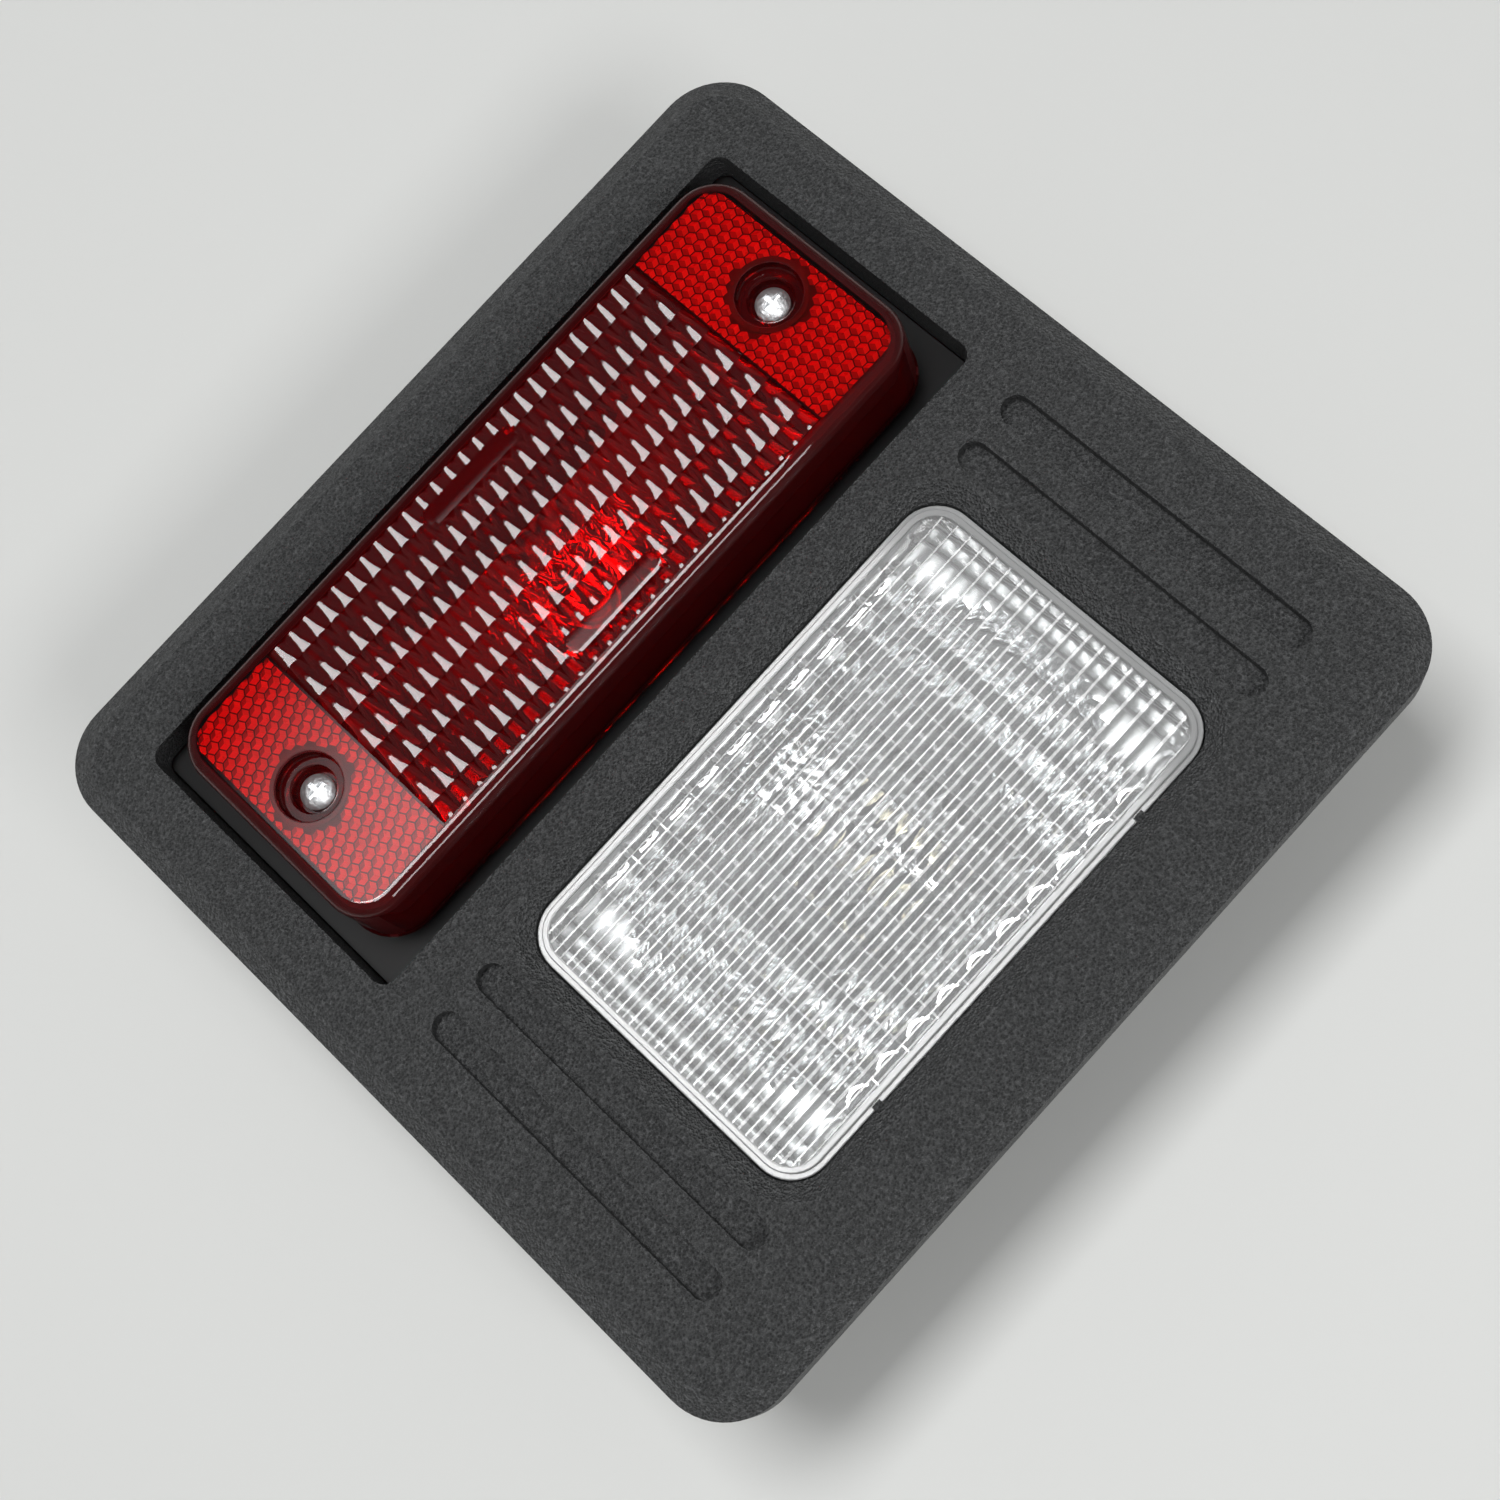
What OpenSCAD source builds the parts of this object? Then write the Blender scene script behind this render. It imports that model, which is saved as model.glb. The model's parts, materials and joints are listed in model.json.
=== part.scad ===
// Combined tail and work lamp of a skid steer loader.
// It lies on its back: z = 0 is the back plane and +z points out of the lenses.
// +x runs along the lamps, +y points from the clear work lamp to the red tail lamp.

/* [Bezel] */
// Width of the bezel, along the lamps
bezel_w = 228; // [224:1:240]
// Height of the bezel, across both lamps
bezel_h = 220; // [216:1:232]
// Radius of the bezel's outer corners
bezel_corner_r = 16; // [12:1:20]
// Height of the front face above the back plane
face_z = 62; // [60:1:70]
// Thickness of the moulded face
face_t = 3; // [2.4:0.2:3.6]
// Depth of the outer skirt, from the face to its lower edge
skirt_d = 12; // [9:1:18]
// Thickness of the outer skirt
skirt_t = 2.8; // [2:0.2:3.4]
// Width of the chamfer round the face
chamfer_w = 5; // [3:0.5:6]
// Drop of the chamfer round the face
chamfer_drop = 2.4; // [1.6:0.2:3]
// Depth of both lamp seats below the face
seat_d = 12; // [11:0.5:14]
// Thickness of the sleeves round the lamps
sleeve_t = 2.5; // [2:0.1:3]

/* [Grooves] */
// Width of a decorative groove
groove_w = 7.2; // [5:0.2:8]
// Length of a groove, end to end
groove_l = 85.5; // [60:0.5:90]
// Depth of a groove
groove_d = 2.8; // [1.5:0.1:3.2]
// Distance from the middle of the bezel to an inner groove
groove_inner_x = 77.8; // [77:0.1:79]
// Distance from an inner groove to the outer one beside it
groove_pitch = 14.1; // [12:0.1:15]
// Distance of the grooves' middle below the bezel's middle
groove_drop = 44.2; // [42:0.1:46]

/* [Tail pocket] */
// Width of the pocket that the tail lamp sits in
pocket_w = 192; // [188:1:194]
// Height of the pocket
pocket_h = 80; // [77:1:82]
// Corner radius of the pocket
pocket_r = 3.5; // [2:0.5:6]
// Distance of the pocket's middle above the bezel's middle
tail_y = 51.4; // [51:0.1:52]

/* [Tail lens] */
// Length of the lens dome
dome_w = 179; // [176:0.5:181]
// Height of the lens dome
dome_h = 66; // [65:0.5:68]
// Corner radius of the dome
dome_r = 11; // [8:0.5:14]
// Height of the dome above the face
dome_rise = 13.5; // [11:0.5:16]
// Radius of the dome's rounded upper edge
dome_fillet_r = 3.2; // [2:0.2:4]
// Draft angle of the dome's walls
dome_draft = 1.5; // [0.5:0.25:2]
// Wall of the red lens
lens_wall = 2.6; // [2.2:0.1:3]
// Thickness of the lens flange
flange_t = 4; // [3:0.2:5]
// Clearance of a lens all round in its seat
lens_gap = 0.4; // [0.2:0.05:0.6]
// Distance between the two lens screws
lens_screw_pitch = 148.4; // [146:0.1:150]
// Diameter of the upper step of a screw well
well_d = 15.6; // [13:0.2:16.4]
// Depth of the upper step of a screw well
well_step = 3; // [2:0.2:3.6]
// Diameter of the lower step of a screw well
well_low_d = 10.6; // [10:0.1:11.4]
// Whole depth of a screw well
well_depth = 6.5; // [6:0.1:8]
// Width of the smooth ring round a screw well
well_ring = 1.2; // [0.8:0.1:1.8]

/* [Tail optics] */
// Columns of prism cells in the middle of the lens
cell_columns = 26; // [20:1:28]
// Width of a prism cell
cell_w = 4.6; // [4:0.1:4.7]
// Height of a short row of cells
row_short = 8.4; // [7.6:0.1:8.8]
// Height of a tall row of cells
row_tall = 10; // [9.4:0.1:10.4]
// Height of the cut rows at both edges
row_edge = 5.6; // [4.6:0.1:6]
// Depth of a cell's valleys at its deep end
cell_depth = 1.1; // [0.6:0.1:1.3]
// Pitch of the hexagonal reflector pins
pin_pitch = 2.85; // [2.6:0.05:3.4]
// Gap between neighbouring pins
pin_gap = 0.15; // [0.1:0.05:0.3]
// Height of a reflector pin
pin_h = 1.3; // [0.8:0.1:2]
// Width of each hexagonal pin zone
pin_zone_w = 25; // [23:0.5:26]
// Height of each hexagonal pin zone
pin_zone_h = 58; // [52:0.5:58.5]
// Length of each bare pad on the lens
pad_l = 28.6; // [20:0.2:30]
// Width of each bare pad
pad_w = 5; // [4:0.2:6]
// Distance of the bare pads from the lens's middle
pad_offset = 22.8; // [21:0.1:24]

/* [Work lens] */
// Length of the clear lens
work_w = 134.6; // [132:0.2:135.4]
// Height of the clear lens
work_h = 83.2; // [81:0.2:84]
// Corner radius of the clear lens
work_r = 9.8; // [8:0.2:12]
// Distance of the clear lens's middle below the bezel's middle
work_drop = 43.4; // [43:0.1:44]
// Depth of the clear lens's rim below the face
rim_drop = 2.4; // [2:0.1:3]
// Width of the lower step round the rim
rim_step_w = 1.3; // [1:0.1:1.6]
// Drop of the lower step round the rim
rim_step_drop = 1.2; // [0.8:0.1:1.6]
// Width of the plain rim round the flutes
rim_w = 2.8; // [2:0.1:3.2]
// Thickness of the clear lens between its flutes
pane_t = 2.4; // [2:0.1:2.8]
// Columns of wide flutes on the back, without the narrower ones at both ends
flute_columns = 12; // [10:1:12]
// Width of a wide flute
flute_pitch = 9.44; // [9.2:0.02:10]
// Rows of fine flutes on the front
flute_rows = 20; // [16:1:24]
// Depth of the valleys between the wide flutes
flute_depth = 1.1; // [0.6:0.1:1.2]
// Depth of the valleys between the fine flutes
fine_flute_depth = 0.6; // [0.3:0.1:0.8]
// Width of the sloping dish round the clear lens
dish_w = 4.4; // [3.6:0.1:4.8]
// Depth of the dish where it meets the lens
dish_d = 3; // [2.6:0.1:3.4]
// Width of the ledge under the clear lens
ledge_w = 3.6; // [3:0.1:4.4]
// Thickness of the ledge under the clear lens
ledge_t = 2.5; // [2:0.1:3]

/* [Gaskets] */
// Width of the lens gaskets
gasket_w = 3; // [2:0.1:3.2]
// Thickness of the lens gaskets
gasket_t = 1.5; // [1:0.1:2]

/* [Housings] */
// Wall of the rear housings
housing_wall = 2.5; // [2:0.1:3]
// Thickness of the housings' flanges
housing_flange_t = 3; // [2.4:0.1:3.4]
// Wall of the reflectors
reflector_wall = 1.5; // [1.2:0.1:1.8]
// Half width of the reflector bowls at their mouths
bowl_r = 57; // [54:0.5:58]
// Height of the tail housing's deep well
tail_well_h = 68; // [66:0.5:70]
// Depth of the tail reflector's ledge below the lens seat
tail_ledge_d = 11; // [9:0.5:13]
// Height of the work housing's well
work_well_h = 79; // [77:0.5:80]
// Corner radius of the housings' wells
well_corner_r = 12; // [9:0.5:14]

/* [Bulbs and sockets] */
// Diameter of a socket's body
socket_d = 24; // [22.5:0.5:25]
// Diameter of a socket's flange
socket_flange_d = 34; // [32:0.5:36]
// Thickness of a socket's flange
socket_flange_t = 2.8; // [2.4:0.1:3.2]
// Depth that a socket's flange lies above the back plane
socket_recess = 0.8; // [0.5:0.1:1.2]
// Height at which a bulb's cap starts
cap_z = 12.5; // [12:0.1:13.5]
// Diameter of a bulb's metal cap
cap_d = 15; // [14:0.1:15.4]
// Length of the tail bulb's cap
tail_cap_l = 17; // [16:0.5:19]
// Whole length of the tail bulb
tail_bulb_l = 52.5; // [49:0.5:53]
// Diameter of the tail bulb's glass
tail_glass_d = 25; // [22:0.5:26.5]
// Length of the work bulb's cap
work_cap_l = 11; // [10:0.5:12]
// Whole length of the work bulb
work_bulb_l = 33; // [31:0.5:36]
// Diameter of the work bulb's glass
work_glass_d = 11; // [9.5:0.5:12]
// Width of a terminal blade
blade_w = 6.3; // [4.8:0.1:6.6]
// Thickness of a terminal blade
blade_t = 0.8; // [0.6:0.1:1]

/* [Fasteners] */
// Head diameter of the lens screws
lens_head_d = 8.2; // [7.4:0.1:8.6]
// Shank diameter of every screw
screw_d = 3.6; // [3:0.1:4]
// Head diameter of the rear screws
rear_head_d = 7.4; // [6.8:0.1:8]
// Head height of every screw
head_h = 2.6; // [2:0.1:2.8]
// Outer diameter of a screw boss
boss_d = 9; // [8.4:0.1:9.6]
// Spacing of the mounting inserts along x
mount_x = 196; // [192:1:198]
// Spacing of the mounting inserts along y
mount_y = 202; // [200.5:0.5:203]
// Outer diameter of a mounting post
post_d = 11.5; // [11:0.1:12]
// Depth of the posts' ends below the face
post_l = 30; // [24:1:34]
// Outer diameter of a threaded insert
insert_d = 8; // [7.6:0.1:8.4]
// Bore of a threaded insert
insert_bore_d = 5; // [4.2:0.1:5.4]
// Length of a threaded insert
insert_l = 12; // [8:0.5:16]

/* [Hidden] */
$fn = 64;

// Small overlap that makes cuts and joins definite
eps = 0.05;
// Clearance of a screw or a socket in its hole
fit_gap = 0.2;
seat_z = face_z - seat_d;
dome_top = face_z + dome_rise;
work_y = -work_drop;

// Flange and tray of the tail lamp
flange_w = pocket_w - 2 * lens_gap;
flange_h = pocket_h - 2 * lens_gap;
flange_r = pocket_r - lens_gap;
tail_flange_w = pocket_w + 2 * (sleeve_t + boss_d + 1.5);
tail_flange_h = pocket_h + 2 * sleeve_t + 1;
housing_flange_r = 8;
tail_screw_x = pocket_w / 2 + sleeve_t + boss_d / 2 + 1.3;
tail_screw_y = 30;
tail_tray_w = dome_w - 2 * lens_wall - 4;
tail_ledge_z = seat_z - tail_ledge_d;
tail_post_x = lens_screw_pitch / 2;
well_floor_t = 2.4;
tail_pilot_top = face_z - face_t - 1;
work_pilot_top = face_z - groove_d - 3;
// Distance that a screw's tip stays below the end of its pilot hole
tip_gap = 0.6;

// Prism cells of the tail lens
cells_w = cell_columns * cell_w;
row_heights = [row_edge, row_tall, row_short, row_tall, row_short, row_tall, row_edge];
cells_h = sum_to(row_heights, len(row_heights));
// Slope of each row, the step that it makes and the fine lines between rows
cell_tilt = 4;
cell_step = row_tall * sin(cell_tilt);
cell_gap = 0.16;
cell_recess = 0.25;
cell_floor = 1.7;
field_depth = 1.4;
// Cut across the outer corners of the pin zones
zone_bevel = 8;

// Clear lens and its seat
work_top = face_z - rim_drop;
ledge_top = seat_z + ledge_t;
work_lens_bottom = ledge_top + gasket_t;
flute_field_w = work_w - 2 * rim_w;
flute_field_h = work_h - 2 * rim_w - 0.4;
end_flute_w = (flute_field_w - flute_columns * flute_pitch) / 2;
work_hole_w = work_w + 2 * lens_gap;
work_hole_h = work_h + 2 * lens_gap;
work_hole_r = work_r + lens_gap;
nub_x = 41;
nub_reach = 0.9;
nub_w = 2.4;
nub_h = 0.9;
// Roundness of the dish's outer edge
dish_round_r = 2.4;

// Hidden side of the bezel
backing_t = 2.4;
rib_t = 1.8;
rib_pitch = 38;
rib_clear = 2;
grip_w = 1;
grip_depth = 0.4;

// Rear housing and reflector of the work lamp
work_flange_w = work_hole_w + 2 * sleeve_t + 2 * boss_d + 6;
work_flange_h = work_hole_h + 2 * sleeve_t;
work_screw_x = work_hole_w / 2 + sleeve_t + boss_d / 2 + 2.3;
work_screw_y = 34;
well_w = 2 * bowl_r + 2 * (reflector_wall + housing_wall) + 7;
back_rib_t = 2;
back_rib_h = 3;

// Reflector bowls
tail_bowl_z = 15;
work_bowl_z = 12;
neck_d = socket_d + 2;

// Socket stack, from the back plane upward
socket_seat_z = 5;
collar_top = 8;
collar_d = 42;
plug_w = 18;
plug_h = 9.4;
plug_top = 9;
key_w = 4;
key_d = 1.2;
tail_socket_top = 28;
work_socket_top = 21;
bayonet_rise = 9.5;
bayonet_z = cap_z + bayonet_rise;
bayonet_reach = 1.7;
bayonet_d = 2;
bayonet_gap = 0.6;
blade_pitch_sum = 11.4;
blade_gap = 0.1;
contact_t = 0.4;
contact_reach = 1.6;
contact_gap = 1.15;

// Bulbs
glass_t = 0.7;
cap_wall = 0.8;
cap_solid = 0.55;
glass_start = 0.6;
solder_r = 1.6;
solder_h = 0.6;
solder_x = 3.4;
stem_h = 6;
bead_h = 1;
wire_r = 0.35;
coil_r = 0.7;
coil_offset = 1.5;
tail_coil_half = 3;
work_coil_half = 2.2;

// Pan heads
head_recess = 0.58;
head_slot = 0.14;

function sum_to(list, n) = n <= 0 ? 0 : list[n - 1] + sum_to(list, n - 1);

// Points of an arc about a centre, from angle a0 to a1
function arc(cx, cy, r, a0, a1, steps) =
    [for (i = [0 : steps]) let (a = a0 + (a1 - a0) * i / steps) [cx + r * cos(a), cy + r * sin(a)]];

// Points on a parabola with its lowest point at (0, z0), from radius r0 to r1
function parabola(focal, z0, r0, r1, steps) =
    [for (i = [0 : steps]) let (r = r0 + (r1 - r0) * i / steps) [r, z0 + r * r / (4 * focal)]];

module rounded_rect(w, h, r) {
    square([w - 2 * r, h], center = true);
    square([w, h - 2 * r], center = true);
    for (sx = [-1, 1], sy = [-1, 1])
        translate([sx * (w / 2 - r), sy * (h / 2 - r)])
            circle(r);
}

module plate(w, h, r, z0, z1) {
    translate([0, 0, z0])
        linear_extrude(height = z1 - z0)
            rounded_rect(w, h, r);
}

module ring_plate(w, h, r, band, z0, z1) {
    difference() {
        plate(w, h, r, z0, z1);
        plate(w - 2 * band, h - 2 * band, max(r - band, 0.5), z0 - eps, z1 + eps);
    }
}

// A rounded slab whose edge follows the child profile. The profile's x runs
// outward from a corner's axis, and at x = 0 it spans z0 to z1.
module profiled_slab(w, h, r, z0, z1) {
    for (sx = [-1, 1], sy = [-1, 1])
        translate([sx * (w / 2 - r), sy * (h / 2 - r), 0])
            rotate_extrude()
                children();
    for (turn = [0, 1]) {
        reach = (turn == 0 ? w : h) / 2 - r;
        run = (turn == 0 ? h : w) - 2 * r;
        rotate([90, 0, turn * 90])
            linear_extrude(height = run, center = true) {
                for (side = [0, 1])
                    mirror([side, 0])
                        translate([reach - eps, 0]) {
                            translate([eps, 0])
                                children();
                            translate([0, z0])
                                square([2 * eps, z1 - z0]);
                        }
                translate([-reach, z0])
                    square([2 * reach, z1 - z0]);
            }
    }
}

module tube(d_out, d_in, z0, z1) {
    difference() {
        rod(d_out, z0, z1);
        hole(d_in, z0, z1);
    }
}

module rod(d, z0, z1) {
    translate([0, 0, z0])
        cylinder(d = d, h = z1 - z0);
}

module hole(d, z0, z1) {
    rod(d, z0 - eps, z1 + eps);
}

// Copies the child to the four corners of a rectangle round y
module at_corners(x, y_mid, y_half) {
    for (sx = [-1, 1], sy = [-1, 1])
        translate([sx * x, y_mid + sy * y_half, 0])
            children();
}

// Bezel

module bezel_blank() {
    lower = face_z - skirt_d;
    difference() {
        profiled_slab(bezel_w, bezel_h, bezel_corner_r, lower, face_z)
            polygon([
                [0, lower], [bezel_corner_r, lower],
                [bezel_corner_r, face_z - chamfer_drop],
                [bezel_corner_r - chamfer_w, face_z], [0, face_z]
            ]);
        inner_r = bezel_corner_r - skirt_t;
        inner_top = face_z - face_t;
        profiled_slab(bezel_w - 2 * skirt_t, bezel_h - 2 * skirt_t, inner_r, lower - 1, inner_top)
            polygon([
                [0, lower - 1], [inner_r, lower - 1],
                [inner_r, inner_top - chamfer_drop],
                [inner_r - chamfer_w, inner_top], [0, inner_top]
            ]);
    }
}

module grooves(grow, z0, z1) {
    for (side = [-1, 1], step = [0, 1])
        translate([side * (groove_inner_x + step * groove_pitch), -groove_drop, 0])
            plate(groove_w + 2 * grow, groove_l + 2 * grow, groove_w / 2 + grow - 0.001, z0, z1);
}

// Sloping dish round the clear lens, rounded where it meets the face
module dish_cut() {
    dish_r = work_hole_r + dish_w;
    slope = atan2(dish_d, dish_w);
    round_x = dish_r + dish_round_r * tan(slope / 2);
    translate([0, work_y, 0])
        profiled_slab(work_hole_w + 2 * dish_w, work_hole_h + 2 * dish_w, dish_r,
                      face_z - dish_d, face_z + 1)
            polygon(concat(
                [[0, face_z + 1], [0, face_z - dish_d], [work_hole_r, face_z - dish_d]],
                arc(round_x, face_z - dish_round_r, dish_round_r, 90 + slope, 90, 5),
                [[round_x, face_z + 1]]
            ));
}

module bezel_ribs() {
    rib_top = face_z - face_t + eps;
    rib_low = face_z - skirt_d + rib_clear;
    rib_h = rib_top - rib_low;
    inner_x = bezel_w / 2 - skirt_t + eps;
    inner_y = bezel_h / 2 - skirt_t + eps;
    pocket_top = tail_y + pocket_h / 2 + sleeve_t - eps;
    work_low = work_y - work_hole_h / 2 - sleeve_t + eps;
    // Ribs above the pocket and below the work lamp
    for (i = [-2 : 2]) {
        translate([i * rib_pitch - rib_t / 2, pocket_top, rib_low])
            cube([rib_t, inner_y - pocket_top, rib_h]);
        translate([i * rib_pitch - rib_t / 2, -inner_y, rib_low])
            cube([rib_t, inner_y + work_low, rib_h]);
    }
    // Ribs that tie the mounting posts to the skirt
    for (sx = [-1, 1], sy = [-1, 1]) {
        translate([sx * (mount_x / 2 + inner_x) / 2, sy * mount_y / 2, rib_low + rib_h / 2])
            cube([inner_x - mount_x / 2, rib_t, rib_h], center = true);
        translate([sx * mount_x / 2, sy * (mount_y / 2 + inner_y) / 2, rib_low + rib_h / 2])
            cube([rib_t, inner_y - mount_y / 2, rib_h], center = true);
    }
}

// Sleeves, backings, bosses and posts behind the bezel's face
module bezel_back() {
    under_face = face_z - face_t + eps;
    translate([0, tail_y, 0])
        plate(pocket_w + 2 * sleeve_t, pocket_h + 2 * sleeve_t, pocket_r + sleeve_t, seat_z, under_face);
    translate([0, work_y, 0]) {
        plate(work_hole_w + 2 * sleeve_t, work_hole_h + 2 * sleeve_t, work_hole_r + sleeve_t,
              seat_z, under_face);
        plate(work_hole_w + 2 * dish_w + 1, work_hole_h + 2 * dish_w + 1, work_hole_r + dish_w + 0.5,
              face_z - dish_d - backing_t, under_face);
    }
    grooves(2, face_z - groove_d - backing_t, under_face);
    at_corners(tail_screw_x, tail_y, tail_screw_y)
        rod(boss_d, seat_z, under_face);
    at_corners(work_screw_x, work_y, work_screw_y)
        rod(boss_d, seat_z, under_face);
    at_corners(mount_x / 2, 0, mount_y / 2)
        rod(post_d, face_z - post_l, under_face);
    bezel_ribs();
}

module bezel_cuts() {
    translate([0, tail_y, 0])
        plate(pocket_w, pocket_h, pocket_r, seat_z - 1, face_z + 1);
    dish_cut();
    translate([0, work_y, 0]) {
        plate(work_hole_w, work_hole_h, work_hole_r, ledge_top, face_z + 1);
        plate(work_hole_w - 2 * ledge_w, work_hole_h - 2 * ledge_w, work_hole_r - ledge_w,
              seat_z - 1, ledge_top + eps);
    }
    grooves(0, face_z - groove_d, face_z + 1);
    at_corners(tail_screw_x, tail_y, tail_screw_y)
        hole(screw_d + fit_gap, seat_z, tail_pilot_top);
    at_corners(work_screw_x, work_y, work_screw_y)
        hole(screw_d + fit_gap, seat_z, work_pilot_top);
    at_corners(mount_x / 2, 0, mount_y / 2)
        hole(insert_d, face_z - post_l, face_z - post_l + insert_l + 2);
}

module bezel() {
    color([0.09, 0.09, 0.095]) {
        difference() {
            union() {
                bezel_blank();
                bezel_back();
            }
            bezel_cuts();
        }
        // Nubs that hold the clear lens down
        for (side = [-1, 1])
            translate([side * nub_x - nub_w / 2, work_y - work_hole_h / 2 - eps,
                       work_top - rim_step_drop + lens_gap / 4])
                cube([nub_w, nub_reach + lens_gap, nub_h]);
    }
}

module mount_insert(index) {
    s = corner_sign(index);
    low = face_z - post_l;
    color([0.72, 0.58, 0.3])
        translate([s[0] * mount_x / 2, s[1] * mount_y / 2, 0])
            difference() {
                tube(insert_d, insert_bore_d, low, low + insert_l);
                // Grooves round the insert that the plastic grips
                for (share = [0.35, 0.65]) {
                    z = low + insert_l * share;
                    tube(insert_d + 1, insert_d - 2 * grip_depth, z - grip_w / 2, z + grip_w / 2);
                }
            }
}

// Tail lamp

module dome_profile(r, z0, top, fillet) {
    cx = r - fillet;
    cz = top - fillet;
    foot = r + (cz - z0) * tan(dome_draft);
    polygon([[0, z0], [foot, z0], [r, cz], [cx, cz], [cx, top], [0, top]]);
    translate([cx, cz])
        circle(fillet);
}

module dome(shrink, z0, top) {
    r = dome_r - shrink;
    profiled_slab(dome_w - 2 * shrink, dome_h - 2 * shrink, r, z0, top)
        dome_profile(r, z0, top, max(dome_fillet_r - shrink, 0.8));
}

// Rows of prism cells. Each row is a tilted strip of round flutes, so that it
// ends in a step and the columns cross it as valleys.
module prism_cells() {
    rows = len(row_heights);
    for (k = [0 : rows - 1]) {
        y0 = -cells_h / 2 + sum_to(row_heights, k);
        run = row_heights[k] - cell_gap;
        intersection() {
            translate([0, y0 + run / 2, -cell_recess - cell_step / 2])
                rotate([90 + cell_tilt, 0, 0])
                    linear_extrude(height = run + 2, center = true)
                        flute_profile(cells_w - cell_gap, cell_columns, cell_depth, cell_floor - 0.1);
            translate([-cells_w / 2, y0, -cell_floor])
                cube([cells_w, run, cell_floor + 1]);
        }
    }
}

// Bundle of hexagonal pins under one end of the lens
module pin_zone(side) {
    step_x = pin_pitch * sqrt(3) / 2;
    columns = floor(pin_zone_w / step_x);
    rows = floor(pin_zone_h / pin_pitch);
    start_x = cells_w / 2 + pin_pitch * 0.75;
    corner_cut = dome_w / 2 + dome_h / 2 - 2 * dome_fillet_r - zone_bevel;
    pin_top = dome_top - lens_wall;
    translate([0, tail_y, pin_top - pin_h])
        linear_extrude(height = pin_h + 0.2)
            for (i = [0 : columns - 1], j = [0 : rows - 1]) {
                x = start_x + i * step_x;
                y = (j - (rows - 1) / 2 + (i % 2 == 0 ? 0.25 : -0.25)) * pin_pitch;
                to_well = norm([x - tail_post_x, y]);
                if (to_well > well_d / 2 + well_ring + pin_pitch / 2 && x + abs(y) < corner_cut
                    && x < dome_w / 2 - lens_wall - pin_pitch * 0.6)
                    translate([side * x, y])
                        circle(d = (pin_pitch - pin_gap) / cos(30), $fn = 6);
            }
}

// Smooth well round a lens screw, with the boss that reaches the housing
module screw_well() {
    rod(well_d + 2 * well_ring, dome_top - well_step - well_floor_t, dome_top - lens_wall + eps);
    rod(well_low_d + 4, dome_top - well_depth - well_floor_t, dome_top - well_step);
    rod(boss_d, seat_z, dome_top - well_depth);
}

module tail_lens() {
    color([0.62, 0.02, 0.03])
        difference() {
            union() {
                difference() {
                    translate([0, tail_y, 0]) {
                        dome(0, seat_z + flange_t / 2, dome_top);
                        plate(flange_w, flange_h, flange_r, seat_z, seat_z + flange_t);
                    }
                    translate([0, tail_y, 0])
                        dome(lens_wall, seat_z - 1, dome_top - lens_wall);
                    // Shallow field that holds the prism cells
                    translate([-cells_w / 2 - cell_gap, tail_y - cells_h / 2 - cell_gap,
                               dome_top - field_depth])
                        cube([cells_w + 2 * cell_gap, cells_h + 2 * cell_gap, field_depth + 1]);
                }
                translate([0, tail_y, dome_top])
                    prism_cells();
                for (side = [-1, 1])
                    translate([0, tail_y + side * pad_offset, 0])
                        plate(pad_l, pad_w, pad_w / 2 - 0.001, dome_top - cell_floor - 0.1, dome_top);
                pin_zone(-1);
                pin_zone(1);
                for (side = [-1, 1])
                    translate([side * tail_post_x, tail_y, 0])
                        screw_well();
            }
            for (side = [-1, 1])
                translate([side * tail_post_x, tail_y, 0]) {
                    hole(well_d, dome_top - well_step + eps, dome_top + 1);
                    hole(well_low_d, dome_top - well_depth + eps, dome_top);
                    hole(screw_d + 2 * fit_gap, seat_z - 1, dome_top - well_depth);
                }
        }
}

// Pan head on the plane z0, with a cross recess in its outer face
module screw_head(d, z0, up) {
    tip = up ? z0 + head_h : z0 - head_h;
    crown_r = d * 0.62 + head_h * 0.45;
    crown_z = up ? tip - crown_r : tip + crown_r;
    difference() {
        intersection() {
            rod(d, min(z0, tip), max(z0, tip));
            translate([0, 0, crown_z])
                sphere(r = crown_r);
        }
        for (turn = [0, 90])
            rotate([0, 0, turn])
                translate([-d * head_recess / 2, -d * head_slot / 2, up ? tip - head_h / 2 : tip - eps])
                    cube([d * head_recess, d * head_slot, head_h / 2 + eps]);
    }
}

module lens_screw(index) {
    side = index == 0 ? -1 : 1;
    seat = dome_top - well_depth;
    color([0.78, 0.79, 0.8])
        translate([side * tail_post_x, tail_y, 0]) {
            screw_head(lens_head_d, seat, true);
            rod(screw_d, tail_ledge_z + 2, seat + eps);
        }
}

module tail_gasket() {
    color([0.06, 0.06, 0.06])
        translate([0, tail_y, 0])
            gasket_ring(seat_z);
}

// Ring that lies in the groove of the housing's flange
module gasket_ring(top) {
    ring_plate(flange_w - 2, flange_h - 2, flange_r, gasket_w, seat_z - gasket_t, top);
}

// Seat of a socket: a collar inside the housing, bored and counterbored from behind
module socket_cut() {
    hole(socket_flange_d + 1, -1, socket_seat_z - eps);
    hole(socket_d + 2 * fit_gap, 0, collar_top + 1);
}

// Low ribs across the floor of a housing
module back_ribs(w, h) {
    for (side = [-1, 1])
        translate([side * w * 0.32 - back_rib_t / 2, -h / 2 + 1, housing_wall - eps])
            cube([back_rib_t, h - 2, back_rib_h + eps]);
}

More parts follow.
